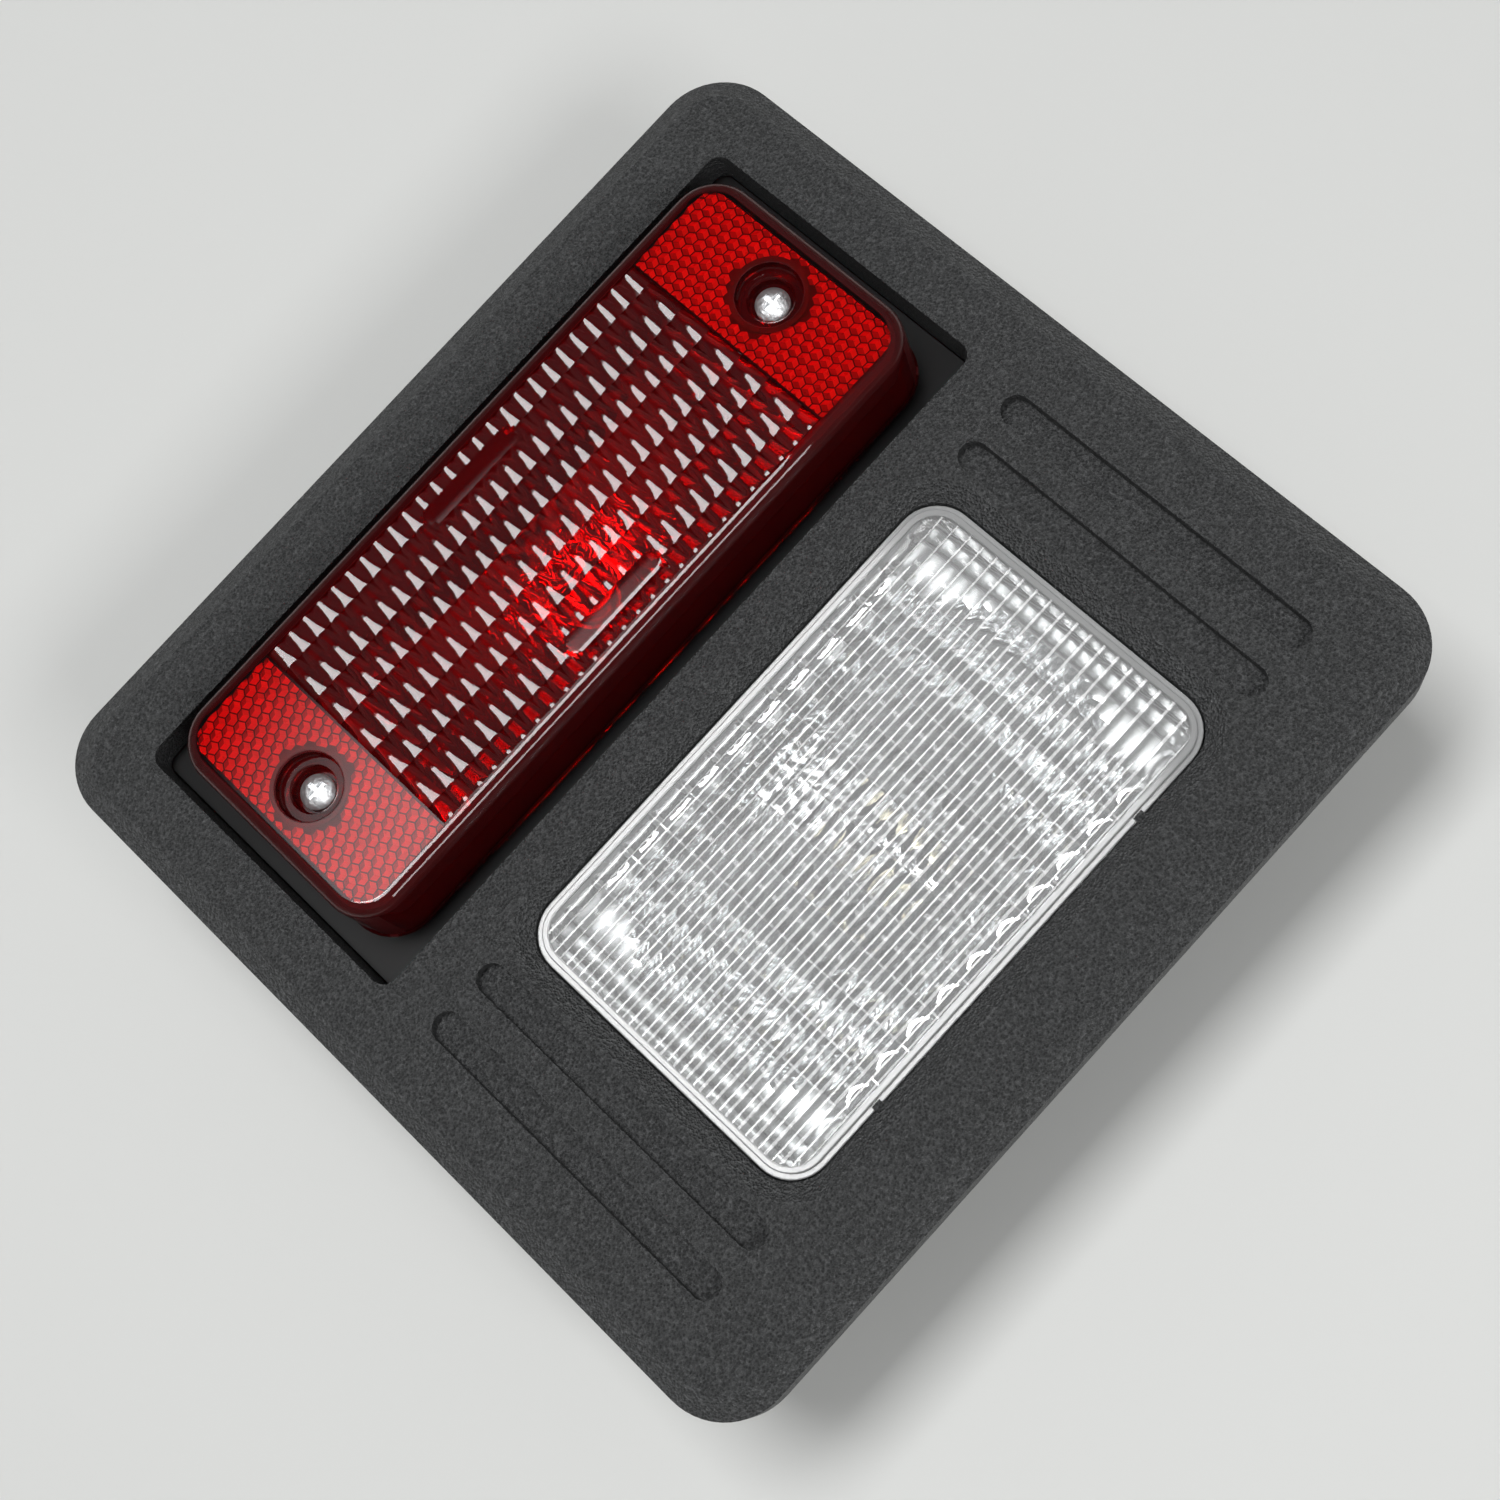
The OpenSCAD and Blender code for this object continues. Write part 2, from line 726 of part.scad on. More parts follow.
module tail_housing() {
    color([0.1, 0.1, 0.105])
        translate([0, tail_y, 0])
            difference() {
                union() {
                    plate(tail_flange_w, tail_flange_h, housing_flange_r,
                          seat_z - housing_flange_t, seat_z);
                    plate(tail_tray_w + 2 * housing_wall, tail_well_h + 2 * housing_wall,
                          well_corner_r, tail_ledge_z - housing_wall, seat_z - eps);
                    plate(well_w, tail_well_h, well_corner_r, 0, tail_ledge_z - eps);
                }
                difference() {
                    union() {
                        plate(tail_tray_w, tail_well_h - 2, well_corner_r - housing_wall,
                              tail_ledge_z, seat_z + 1);
                        plate(well_w - 2 * housing_wall, tail_well_h - 2 * housing_wall,
                              well_corner_r - housing_wall, housing_wall, tail_ledge_z + 1);
                    }
                    // Posts for the lens screws and the collar round the socket
                    for (side = [-1, 1])
                        translate([side * tail_post_x, 0, 0])
                            rod(boss_d, tail_ledge_z - 1, seat_z);
                    rod(collar_d, 0, collar_top);
                    back_ribs(well_w, tail_well_h);
                }
                for (side = [-1, 1])
                    translate([side * tail_post_x, 0, 0])
                        hole(screw_d + fit_gap, tail_ledge_z + 1, seat_z + 1);
                socket_cut();
                gasket_ring(seat_z + 1);
                at_corners(tail_screw_x, 0, tail_screw_y)
                    hole(screw_d + 2 * fit_gap, seat_z - housing_flange_t, seat_z);
            }
}

// Bowl of revolution with a parabolic wall, cut flat above and below
module bowl_solid(half_h, grow, z_low, z_mouth) {
    depth = z_mouth - z_low;
    focal = bowl_r * bowl_r / (4 * depth);
    outline = parabola(focal, z_low - grow, 0, bowl_r + grow, 24);
    intersection() {
        rotate_extrude($fn = 96)
            polygon(concat(outline, [[bowl_r + grow, z_mouth + 1], [0, z_mouth + 1]]));
        translate([0, 0, (z_low + z_mouth) / 2])
            cube([3 * bowl_r, 2 * (half_h + grow), 3 * depth], center = true);
    }
}

// The shell of a bowl below its mouth, with a round neck for the bulb
module reflector_bowl(half_h, z_low, z_mouth) {
    difference() {
        intersection() {
            bowl_solid(half_h, reflector_wall, z_low, z_mouth);
            plate(3 * bowl_r, 3 * bowl_r, 1, z_low, z_mouth);
        }
        bowl_solid(half_h, 0, z_low, z_mouth + 2);
        hole(neck_d, z_low - 2 * reflector_wall, z_mouth);
    }
}

module tail_reflector() {
    mouth = tail_ledge_z + reflector_wall;
    half_h = tail_well_h / 2 - housing_wall - reflector_wall - 1;
    color([0.86, 0.87, 0.88])
        translate([0, tail_y, 0]) {
            reflector_bowl(half_h, tail_bowl_z, tail_ledge_z + eps);
            difference() {
                plate(tail_tray_w - 1, tail_well_h - 3, well_corner_r - housing_wall - 0.5,
                      tail_ledge_z, mouth);
                bowl_solid(half_h, 0, tail_bowl_z, tail_ledge_z + eps + 2);
                for (side = [-1, 1])
                    translate([side * tail_post_x, 0, 0])
                        hole(boss_d + 1, tail_ledge_z, mouth);
            }
        }
}

module bulb_glass(d, z0, length, neck) {
    r = d / 2;
    centre = z0 + length - r;
    color([0.9, 0.95, 0.98, 0.5]) {
        rotate_extrude()
            difference() {
                bulb_section(r, neck / 2, z0, centre);
                bulb_section(r - glass_t, neck / 2 - glass_t, z0 - 1, centre);
            }
        // Pinched stem inside the neck
        translate([0, 0, z0])
            cylinder(r1 = neck / 2 - glass_t + eps, r2 = 2, h = stem_h);
    }
}

// Half outline of a bulb: a round top, a straight neck and a flare between them
module bulb_section(r, neck, z0, centre) {
    flare_z = z0 + (centre - z0) * 0.35;
    intersection() {
        union() {
            translate([0, centre])
                circle(r);
            translate([0, z0])
                square([neck, centre - z0 - r * 0.5]);
            polygon([[0, flare_z], [neck, flare_z],
                     [r * cos(30), centre - r * sin(30)], [0, centre - r * sin(30)]]);
        }
        translate([0, z0])
            square([r + 1, centre + r - z0 + 1]);
    }
}

module bulb_cap(z0, length, contacts) {
    color([0.75, 0.66, 0.42])
        difference() {
            union() {
                rod(cap_d, z0, z0 + length);
                // Bayonet pins
                translate([0, 0, bayonet_z])
                    rotate([0, 90, 0])
                        cylinder(d = bayonet_d, h = cap_d + 2 * bayonet_reach, center = true);
                // Solder contacts under the cap
                for (side = contacts == 2 ? [-1, 1] : [0])
                    translate([side * solder_x, 0, 0])
                        rod(2 * solder_r, z0 - solder_h, z0 + eps);
            }
            hole(cap_d - 2 * cap_wall, z0 + length * cap_solid, z0 + length + 1);
        }
}

module tail_bulb_glass() {
    start = tail_cap_l * glass_start;
    translate([0, tail_y, 0])
        bulb_glass(tail_glass_d, cap_z + start, tail_bulb_l - start, cap_d - 2.2);
}

module tail_bulb_cap() {
    translate([0, tail_y, 0])
        bulb_cap(cap_z, tail_cap_l, 2);
}

// A filament on two upright wires
module filament(y, half, z0, z1) {
    for (side = [-1, 1])
        translate([side * half, y, 0])
            rod(2 * wire_r, z0, z1);
    translate([0, y, z1])
        rotate([0, 90, 0])
            cylinder(r = coil_r, h = 2 * half, center = true);
}

module tail_bulb_filaments() {
    low = cap_z + tail_cap_l * glass_start + stem_h;
    top = cap_z + tail_bulb_l - tail_glass_d / 2;
    color([0.55, 0.53, 0.5])
        translate([0, tail_y, 0]) {
            filament(-coil_offset, tail_coil_half, low, top);
            filament(coil_offset, tail_coil_half, low, top - 2 * coil_offset);
            rod(2 * tail_coil_half + 2 * wire_r + 0.5, low, low + bead_h);
        }
}

// Bulb holder with a bayonet bore above and a plug cavity below
module bulb_socket(top, blades) {
    slot_w = bayonet_d + bayonet_gap;
    slot_r = cap_d / 2 + bayonet_reach + bayonet_gap / 2;
    color([0.16, 0.16, 0.17])
        difference() {
            union() {
                rod(socket_flange_d, socket_recess, socket_recess + socket_flange_t);
                rod(socket_d, socket_recess, top);
            }
            hole(cap_d + 3 * fit_gap, cap_z - contact_gap, top);
            // Bayonet slots, entered from above and turned at the bottom
            for (side = [0, 180])
                rotate([0, 0, side]) {
                    translate([0, -slot_w / 2 - 2, bayonet_z - slot_w / 2])
                        cube([slot_r, slot_w + 2, slot_w]);
                    translate([0, -slot_w / 2 - 2, bayonet_z - slot_w / 2])
                        cube([slot_r, slot_w, top - bayonet_z + slot_w]);
                }
            translate([-plug_w / 2, -plug_h / 2, 0])
                cube([plug_w, plug_h, plug_top]);
            // Keyway of the plug
            translate([-key_w / 2, plug_h / 2 - 1, 0])
                cube([key_w, key_d + 1, plug_top]);
            // Slots of the blades
            for (i = [0 : blades - 1])
                translate([terminal_x(i, blades), 0, (plug_top + cap_z) / 2])
                    cube([blade_t + blade_gap, blade_w + blade_gap, cap_z - plug_top + 1], center = true);
        }
}

function terminal_x(index, count) = (index - (count - 1) / 2) * blade_pitch_sum / max(count - 1, 1);

// A stamped blade with a bent contact under the bulb's cap
module terminal(index, count) {
    low = socket_recess + 0.6;
    top = cap_z - contact_gap + eps;
    inward = index * 2 < count - 1 ? 0 : 1;
    color([0.8, 0.7, 0.45])
        translate([terminal_x(index, count), 0, 0]) {
            translate([-blade_t / 2, -blade_w / 2, low])
                cube([blade_t, blade_w, top - low]);
            translate([-blade_t / 2 - contact_reach * inward, -blade_w / 4, top - eps])
                cube([blade_t + contact_reach, blade_w / 2, contact_t]);
        }
}

module tail_socket() {
    translate([0, tail_y, 0])
        bulb_socket(tail_socket_top, 3);
}

module tail_terminal(index) {
    translate([0, tail_y, 0])
        terminal(index, 3);
}

module socket_seal(y) {
    color([0.08, 0.08, 0.08])
        translate([0, y, 0])
            tube(socket_flange_d, socket_d + 2 * fit_gap, socket_recess + socket_flange_t, socket_seat_z);
}

module rear_screw(x, y, head_z, tip_z) {
    color([0.7, 0.71, 0.72])
        translate([x, y, 0]) {
            screw_head(rear_head_d, head_z, false);
            rod(screw_d, head_z - eps, tip_z);
        }
}

function corner_sign(index) = [index % 2 == 0 ? -1 : 1, index < 2 ? -1 : 1];

module housing_screw(index) {
    s = corner_sign(index);
    rear_screw(s[0] * tail_screw_x, tail_y + s[1] * tail_screw_y,
               seat_z - housing_flange_t, tail_pilot_top - tip_gap);
}

// Work lamp

// Cross-section of a row of equal round flutes on a flat base
module flute_profile(width, count, sag, base) {
    pitch = width / count;
    translate([-width / 2, -base])
        square([width, base - sag + eps]);
    for (i = [0 : count - 1])
        translate([-width / 2 + (i + 0.5) * pitch, 0])
            flute(pitch, sag, base);
}

// One round flute: its crest is at y = 0 and its valleys lie at -sag
module flute(pitch, sag, base) {
    r = (pitch * pitch / 4 + sag * sag) / (2 * sag);
    intersection() {
        translate([0, -r])
            circle(r, $fn = 128);
        translate([-pitch / 2, -base])
            square([pitch, base + 1]);
    }
}

module work_lens() {
    band = rim_w + 0.6;
    pane_low = work_top - fine_flute_depth - pane_t - flute_depth;
    front_base = fine_flute_depth + pane_t / 2 + eps;
    back_base = flute_depth + pane_t / 2;
    color([0.92, 0.94, 0.95, 0.6])
        translate([0, work_y, 0]) {
            // Stepped rim
            ring_plate(work_w, work_h, work_r, band, work_lens_bottom, work_top - rim_step_drop);
            ring_plate(work_w - 2 * rim_step_w, work_h - 2 * rim_step_w, work_r - rim_step_w,
                       band - rim_step_w, work_lens_bottom, work_top);
            intersection() {
                union() {
                    // Fine flutes on the front, along x
                    translate([0, 0, work_top])
                        rotate([90, 0, 90])
                            linear_extrude(height = flute_field_w, center = true)
                                flute_profile(flute_field_h, flute_rows, fine_flute_depth, front_base);
                    // Wide flutes on the back, along y, with a narrower one at both ends
                    translate([0, 0, pane_low])
                        rotate([-90, 0, 0])
                            linear_extrude(height = flute_field_h, center = true) {
                                flute_profile(flute_columns * flute_pitch, flute_columns,
                                              flute_depth, back_base);
                                for (side = [-1, 1])
                                    translate([side * (flute_field_w - end_flute_w) / 2, 0])
                                        flute(end_flute_w + 2 * eps, flute_depth, back_base);
                            }
                }
                plate(work_w - 2 * rim_w, work_h - 2 * rim_w, work_r - rim_w,
                      work_lens_bottom, work_top + 1);
            }
        }
}

module work_gasket() {
    color([0.75, 0.76, 0.76])
        translate([0, work_y, 0])
            ring_plate(work_w, work_h, work_r, gasket_w, ledge_top, ledge_top + gasket_t);
}

module work_reflector() {
    half_h = work_well_h / 2 - housing_wall - reflector_wall - 1;
    flange_low = seat_z - reflector_wall;
    color([0.9, 0.91, 0.92])
        translate([0, work_y, 0]) {
            reflector_bowl(half_h, work_bowl_z, flange_low + eps);
            difference() {
                plate(work_flange_w, work_flange_h, housing_flange_r, flange_low, seat_z);
                bowl_solid(half_h, 0, work_bowl_z, flange_low + eps + 2);
                at_corners(work_screw_x, 0, work_screw_y)
                    hole(screw_d + 2 * fit_gap, flange_low, seat_z);
            }
        }
}

module work_housing() {
    top = seat_z - reflector_wall;
    color([0.1, 0.1, 0.105])
        translate([0, work_y, 0])
            difference() {
                union() {
                    plate(work_flange_w, work_flange_h, housing_flange_r, top - housing_flange_t, top);
                    plate(well_w, work_well_h, well_corner_r, 0, top - eps);
                }
                difference() {
                    plate(well_w - 2 * housing_wall, work_well_h - 2 * housing_wall,
                          well_corner_r - housing_wall, housing_wall, top + 1);
                    rod(collar_d, 0, collar_top);
                    back_ribs(well_w, work_well_h);
                }
                socket_cut();
                at_corners(work_screw_x, 0, work_screw_y)
                    hole(screw_d + 2 * fit_gap, top - housing_flange_t, top);
            }
}

module work_bulb_glass() {
    start = work_cap_l * glass_start;
    translate([0, work_y, 0])
        bulb_glass(work_glass_d, cap_z + start, work_bulb_l - start, work_glass_d - 0.6);
}

module work_bulb_cap() {
    translate([0, work_y, 0])
        bulb_cap(cap_z, work_cap_l, 1);
}

module work_bulb_filament() {
    low = cap_z + work_cap_l * glass_start + stem_h;
    color([0.55, 0.53, 0.5])
        translate([0, work_y, 0]) {
            filament(0, work_coil_half, low, cap_z + work_bulb_l - work_glass_d);
            rod(2 * work_coil_half + 2 * wire_r + 0.5, low, low + bead_h);
        }
}

module work_socket() {
    translate([0, work_y, 0])
        bulb_socket(work_socket_top, 2);
}

module work_terminal(index) {
    translate([0, work_y, 0])
        terminal(index, 2);
}

module work_screw(index) {
    s = corner_sign(index);
    rear_screw(s[0] * work_screw_x, work_y + s[1] * work_screw_y,
               seat_z - reflector_wall - housing_flange_t, work_pilot_top - tip_gap);
}

bezel();
mount_insert(0);  // mount_insert_1
mount_insert(1);  // mount_insert_2
mount_insert(2);  // mount_insert_3
mount_insert(3);  // mount_insert_4
tail_lens();
lens_screw(0);  // lens_screw_1
lens_screw(1);  // lens_screw_2
tail_gasket();
tail_housing();
tail_reflector();
tail_bulb_glass();
tail_bulb_cap();
tail_bulb_filaments();
tail_socket();
socket_seal(tail_y);  // tail_socket_seal
tail_terminal(0);  // tail_terminal_1
tail_terminal(1);  // tail_terminal_2
tail_terminal(2);  // tail_terminal_3
housing_screw(0);  // housing_screw_1
housing_screw(1);  // housing_screw_2
housing_screw(2);  // housing_screw_3
housing_screw(3);  // housing_screw_4
work_lens();
work_gasket();
work_reflector();
work_housing();
work_bulb_glass();
work_bulb_cap();
work_bulb_filament();
work_socket();
socket_seal(work_y);  // work_socket_seal
work_terminal(0);  // work_terminal_1
work_terminal(1);  // work_terminal_2
work_screw(0);  // work_screw_1
work_screw(1);  // work_screw_2
work_screw(2);  // work_screw_3
work_screw(3);  // work_screw_4
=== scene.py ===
"""Looks of a combined tail and work lamp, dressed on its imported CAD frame."""

import json
import logging
import math
from dataclasses import dataclass, field, replace
from enum import Enum
from typing import Callable, Sequence

import bmesh
import bpy
from mathutils import Matrix, Vector


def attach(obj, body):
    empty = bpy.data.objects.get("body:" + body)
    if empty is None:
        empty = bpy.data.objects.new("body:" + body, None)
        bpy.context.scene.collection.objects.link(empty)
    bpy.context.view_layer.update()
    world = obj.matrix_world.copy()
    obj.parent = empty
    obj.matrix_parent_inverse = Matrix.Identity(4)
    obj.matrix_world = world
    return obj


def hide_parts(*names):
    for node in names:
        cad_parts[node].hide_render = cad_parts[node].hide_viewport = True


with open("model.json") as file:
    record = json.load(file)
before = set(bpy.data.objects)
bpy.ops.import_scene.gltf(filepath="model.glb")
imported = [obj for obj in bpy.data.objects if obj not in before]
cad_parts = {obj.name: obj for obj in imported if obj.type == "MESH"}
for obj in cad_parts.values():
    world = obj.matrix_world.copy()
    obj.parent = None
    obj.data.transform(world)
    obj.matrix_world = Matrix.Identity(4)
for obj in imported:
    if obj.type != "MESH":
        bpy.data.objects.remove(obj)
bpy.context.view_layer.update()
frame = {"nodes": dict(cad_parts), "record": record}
MM = 0.001
LOG = logging.getLogger("lamp")
RED_DYE = (0.945, 0.0, 0.04)

# Middles of the two lamps along y, in millimetres
TAIL_Y = 51.4
WORK_Y = -43.4

# Tolerances in millimetres
SAME = 1e-6
CUT = 1e-5
MERGE = 1e-4
NEAR = 0.01

Edges = list[bmesh.types.BMEdge]
Verts = list[bmesh.types.BMVert]
Socket = bpy.types.NodeSocket
Material = bpy.types.Material
Colour = tuple[float, float, float]
Range = tuple[float, float]
Place = tuple[float, float, float]
Sizes = tuple[float, ...]


class Slot(Enum):
    """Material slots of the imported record."""

    BEZEL = "bezel_plastic"
    HOUSING = "housing_plastic"
    SOCKET = "socket_plastic"
    RED = "red_lens"
    CLEAR = "clear_lens"
    MIRROR = "reflector"
    BULB = "bulb_glass"
    CAP = "cap_brass"
    INSERT = "insert_brass"
    TERMINAL = "terminal_brass"
    WIRE = "filament_wire"
    ZINC = "zinc_screw"
    RUBBER = "seal_rubber"
    SILICONE = "pale_silicone"


# Shapes


@dataclass(frozen=True)
class Outline:
    """A rounded rectangle or a circle, in millimetres.

    Args:
        width: Size along x.
        height: Size along y.
        radius: Corner radius; half of both sizes gives a circle.
        x: Middle along x.
        y: Middle along y.
        steps: Points on each quarter.
        least: Smallest corner radius that it can shrink to.
    """

    width: float
    height: float
    radius: float
    x: float = 0.0
    y: float = 0.0
    steps: int = 10
    least: float = 0.05

    @staticmethod
    def circle(diameter: float, x: float, y: float, steps: int = 12) -> "Outline":
        """Returns a round outline."""
        return Outline(diameter, diameter, diameter / 2, x, y, steps)

    def grown(self, by: float) -> "Outline":
        """Returns the outline moved outward by a distance, or inward if it is negative."""
        radius = max(self.radius + by, self.least)
        return replace(self, width=self.width + 2 * by, height=self.height + 2 * by, radius=radius)

    def point(self, index: int) -> tuple[float, float]:
        """Returns the place of a point of the outline.

        Args:
            index: Its number, counted round from +y.

        Returns:
            Its x and y.
        """
        quarter, step = divmod(index, self.steps)
        round_shape = self.width - 2 * self.radius < SAME
        share = step / (self.steps if round_shape else self.steps - 1)
        angle = math.radians(90 * (1 + quarter + share))
        side_x = (-1, -1, 1, 1)[quarter]
        side_y = (1, -1, -1, 1)[quarter]
        return (
            self.x + side_x * (self.width / 2 - self.radius) + self.radius * math.cos(angle),
            self.y + side_y * (self.height / 2 - self.radius) + self.radius * math.sin(angle),
        )


Ring = tuple[Outline, float]


class Shape:
    """A mesh being modelled in millimetres, in the row frame."""

    def __init__(self) -> None:
        """Starts an empty mesh."""
        self.bm = bmesh.new()
        self.number = self.bm.verts.layers.int.new("number")

    def loop(self, outline: Outline, z: float) -> Edges:
        """Lays an outline at a height.

        Args:
            outline: The outline.
            z: The height.

        Returns:
            The outline's edges.
        """
        count = 4 * outline.steps
        made = bmesh.ops.create_circle(self.bm, cap_ends=False, segments=count, radius=1)
        for vert in made["verts"]:
            turn = (math.atan2(vert.co.y, vert.co.x) / math.tau - 0.25) % 1.0
            vert[self.number] = round(turn * count) % count
            vert.co = Vector((*outline.point(vert[self.number]), z))
        return self.edges_of(made["verts"])

    def stack(self, rings: Sequence[Ring]) -> tuple[Edges, Edges]:
        """Extrudes one wall through outlines with the same number of points.

        Args:
            rings: Outlines with their heights, in order.

        Returns:
            The first and the last loop.
        """
        first = last = self.loop(*rings[0])
        for outline, z in rings[1:]:
            last, verts = self.extrude(last)
            for vert in verts:
                vert.co = Vector((*outline.point(vert[self.number]), z))
        return first, last

    def extrude(self, edges: Edges) -> tuple[Edges, Verts]:
        """Draws a wall from a loop, with its new edge still in the old place.

        Args:
            edges: The loop.

        Returns:
            The new loop's edges and points.
        """
        made = bmesh.ops.extrude_edge_only(self.bm, edges=edges)["geom"]
        new_edges = [item for item in made if isinstance(item, bmesh.types.BMEdge)]
        return new_edges, [item for item in made if isinstance(item, bmesh.types.BMVert)]

    def fill(self, *loops: Edges) -> None:
        """Fills the plane between an outer loop and any loops inside it."""
        edges = [edge for loop in loops for edge in loop]
        bmesh.ops.triangle_fill(self.bm, use_beauty=True, edges=edges, normal=(0, 0, 1))

    def skirt(self, edges: Edges, z: float) -> Edges:
        """Draws a wall from a loop to a flat loop at a height.

        Args:
            edges: The loop that the wall starts from.
            z: The height of the new loop.

        Returns:
            The new loop's edges.
        """
        loop, verts = self.extrude(edges)
        for vert in verts:
            vert.co.z = z
        return loop

    def grid(self, xs: Sequence[float], ys: Sequence[float],
             height: Callable[[float, float, int], float]) -> Edges:
        """Lays a grid on given lines and raises it by a formula.

        Args:
            xs: Places of the lines across x.
            ys: Places of the lines across y.
            height: Height from x, y and the index of the y line.

        Returns:
            The grid's outer edges.
        """
        columns, rows = len(xs) - 1, len(ys) - 1
        made = bmesh.ops.create_grid(self.bm, x_segments=columns, y_segments=rows, size=1)["verts"]
        for vert in made:
            i = round((vert.co.x + 1) / 2 * columns)
            j = round((vert.co.y + 1) / 2 * rows)
            vert.co = Vector((xs[i], ys[j], height(xs[i], ys[j], j)))
        return self.rim(made)

    def rim(self, verts: Verts) -> Edges:
        """Returns the open edges among these points."""
        return [edge for edge in self.edges_of(verts) if len(edge.link_faces) == 1]

    @staticmethod
    def edges_of(verts: Verts) -> Edges:
        """Returns the edges that meet at these points, once each and always in the same order."""
        return list(dict.fromkeys(edge for vert in verts for edge in vert.link_edges))

    def cut_sheet(self, outline: Outline, z: float, xs: Sequence[float], ys: Sequence[float]) -> Verts:
        """Makes a flat sheet in an outline, cut along lines.

        Args:
            outline: The sheet's outline.
            z: Its height.
            xs: Places of the cuts across x.
            ys: Places of the cuts across y.

        Returns:
            The sheet's points.
        """
        sheet = bmesh.new()
        made = bmesh.ops.create_circle(sheet, cap_ends=True, segments=4 * outline.steps, radius=1)
        for index, vert in enumerate(made["verts"]):
            vert.co = Vector((*outline.point(index), z))
        for axis, places in ((0, xs), (1, ys)):
            normal = Vector((1, 0, 0)) if axis == 0 else Vector((0, 1, 0))
            for place in places:
                geom = sheet.verts[:] + sheet.edges[:] + sheet.faces[:]
                bmesh.ops.bisect_plane(sheet, geom=geom, dist=CUT, plane_co=normal * place, plane_no=normal)
        part = bpy.data.meshes.new("sheet")
        sheet.to_mesh(part)
        sheet.free()
        before = len(self.bm.verts)
        self.bm.from_mesh(part)
        bpy.data.meshes.remove(part)
        self.bm.verts.ensure_lookup_table()
        return self.bm.verts[before:]

    def mark(self, index: int, chosen: Callable[[Vector], bool]) -> None:
        """Gives faces a finish.

        Args:
            index: Place of the finish among the piece's materials.
            chosen: Tells from a face's middle whether it takes the finish.
        """
        for face in self.bm.faces:
            if chosen(face.calc_center_median()):
                face.material_index = index

    def piece(self, name: str, finish: Sequence[Material], slot: Slot, replaces: Sequence[str] = (),
              sharp: float = 16.0) -> bpy.types.Object:
        """Makes the mesh an object of the part.

        Args:
            name: The piece's name.
            finish: Its materials.
            slot: Not used.
            replaces: CAD nodes that it stands for.
            sharp: Angle in degrees above which an edge is drawn sharp.

        Returns:
            The new object.
        """
        bm = self.bm
        bmesh.ops.remove_doubles(bm, verts=bm.verts, dist=MERGE)
        bmesh.ops.recalc_face_normals(bm, faces=bm.faces)
        for face in bm.faces:
            face.smooth = True
        for edge in bm.edges:
            edge.smooth = edge.is_manifold and edge.calc_face_angle(0.0) < math.radians(sharp)
        open_edges = sum(1 for edge in bm.edges if not edge.is_manifold)
        bmesh.ops.scale(bm, vec=(MM, MM, MM), verts=bm.verts)
        mesh = bpy.data.meshes.new(name)
        bm.to_mesh(mesh)
        bm.free()
        for material in finish:
            mesh.materials.append(material)
        made = bpy.data.objects.new(name, mesh)
        bpy.context.scene.collection.objects.link(made)
        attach(made, "root")
        if replaces:
            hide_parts(*replaces)
        LOG.info("%s: %d faces, %d open edges", name, len(mesh.polygons), open_edges)
        return made


def spread(low: float, high: float, count: int) -> list[float]:
    """Returns count + 1 evenly spaced numbers from low to high."""
    return [low + (high - low) * i / count for i in range(count + 1)]


# Finishes


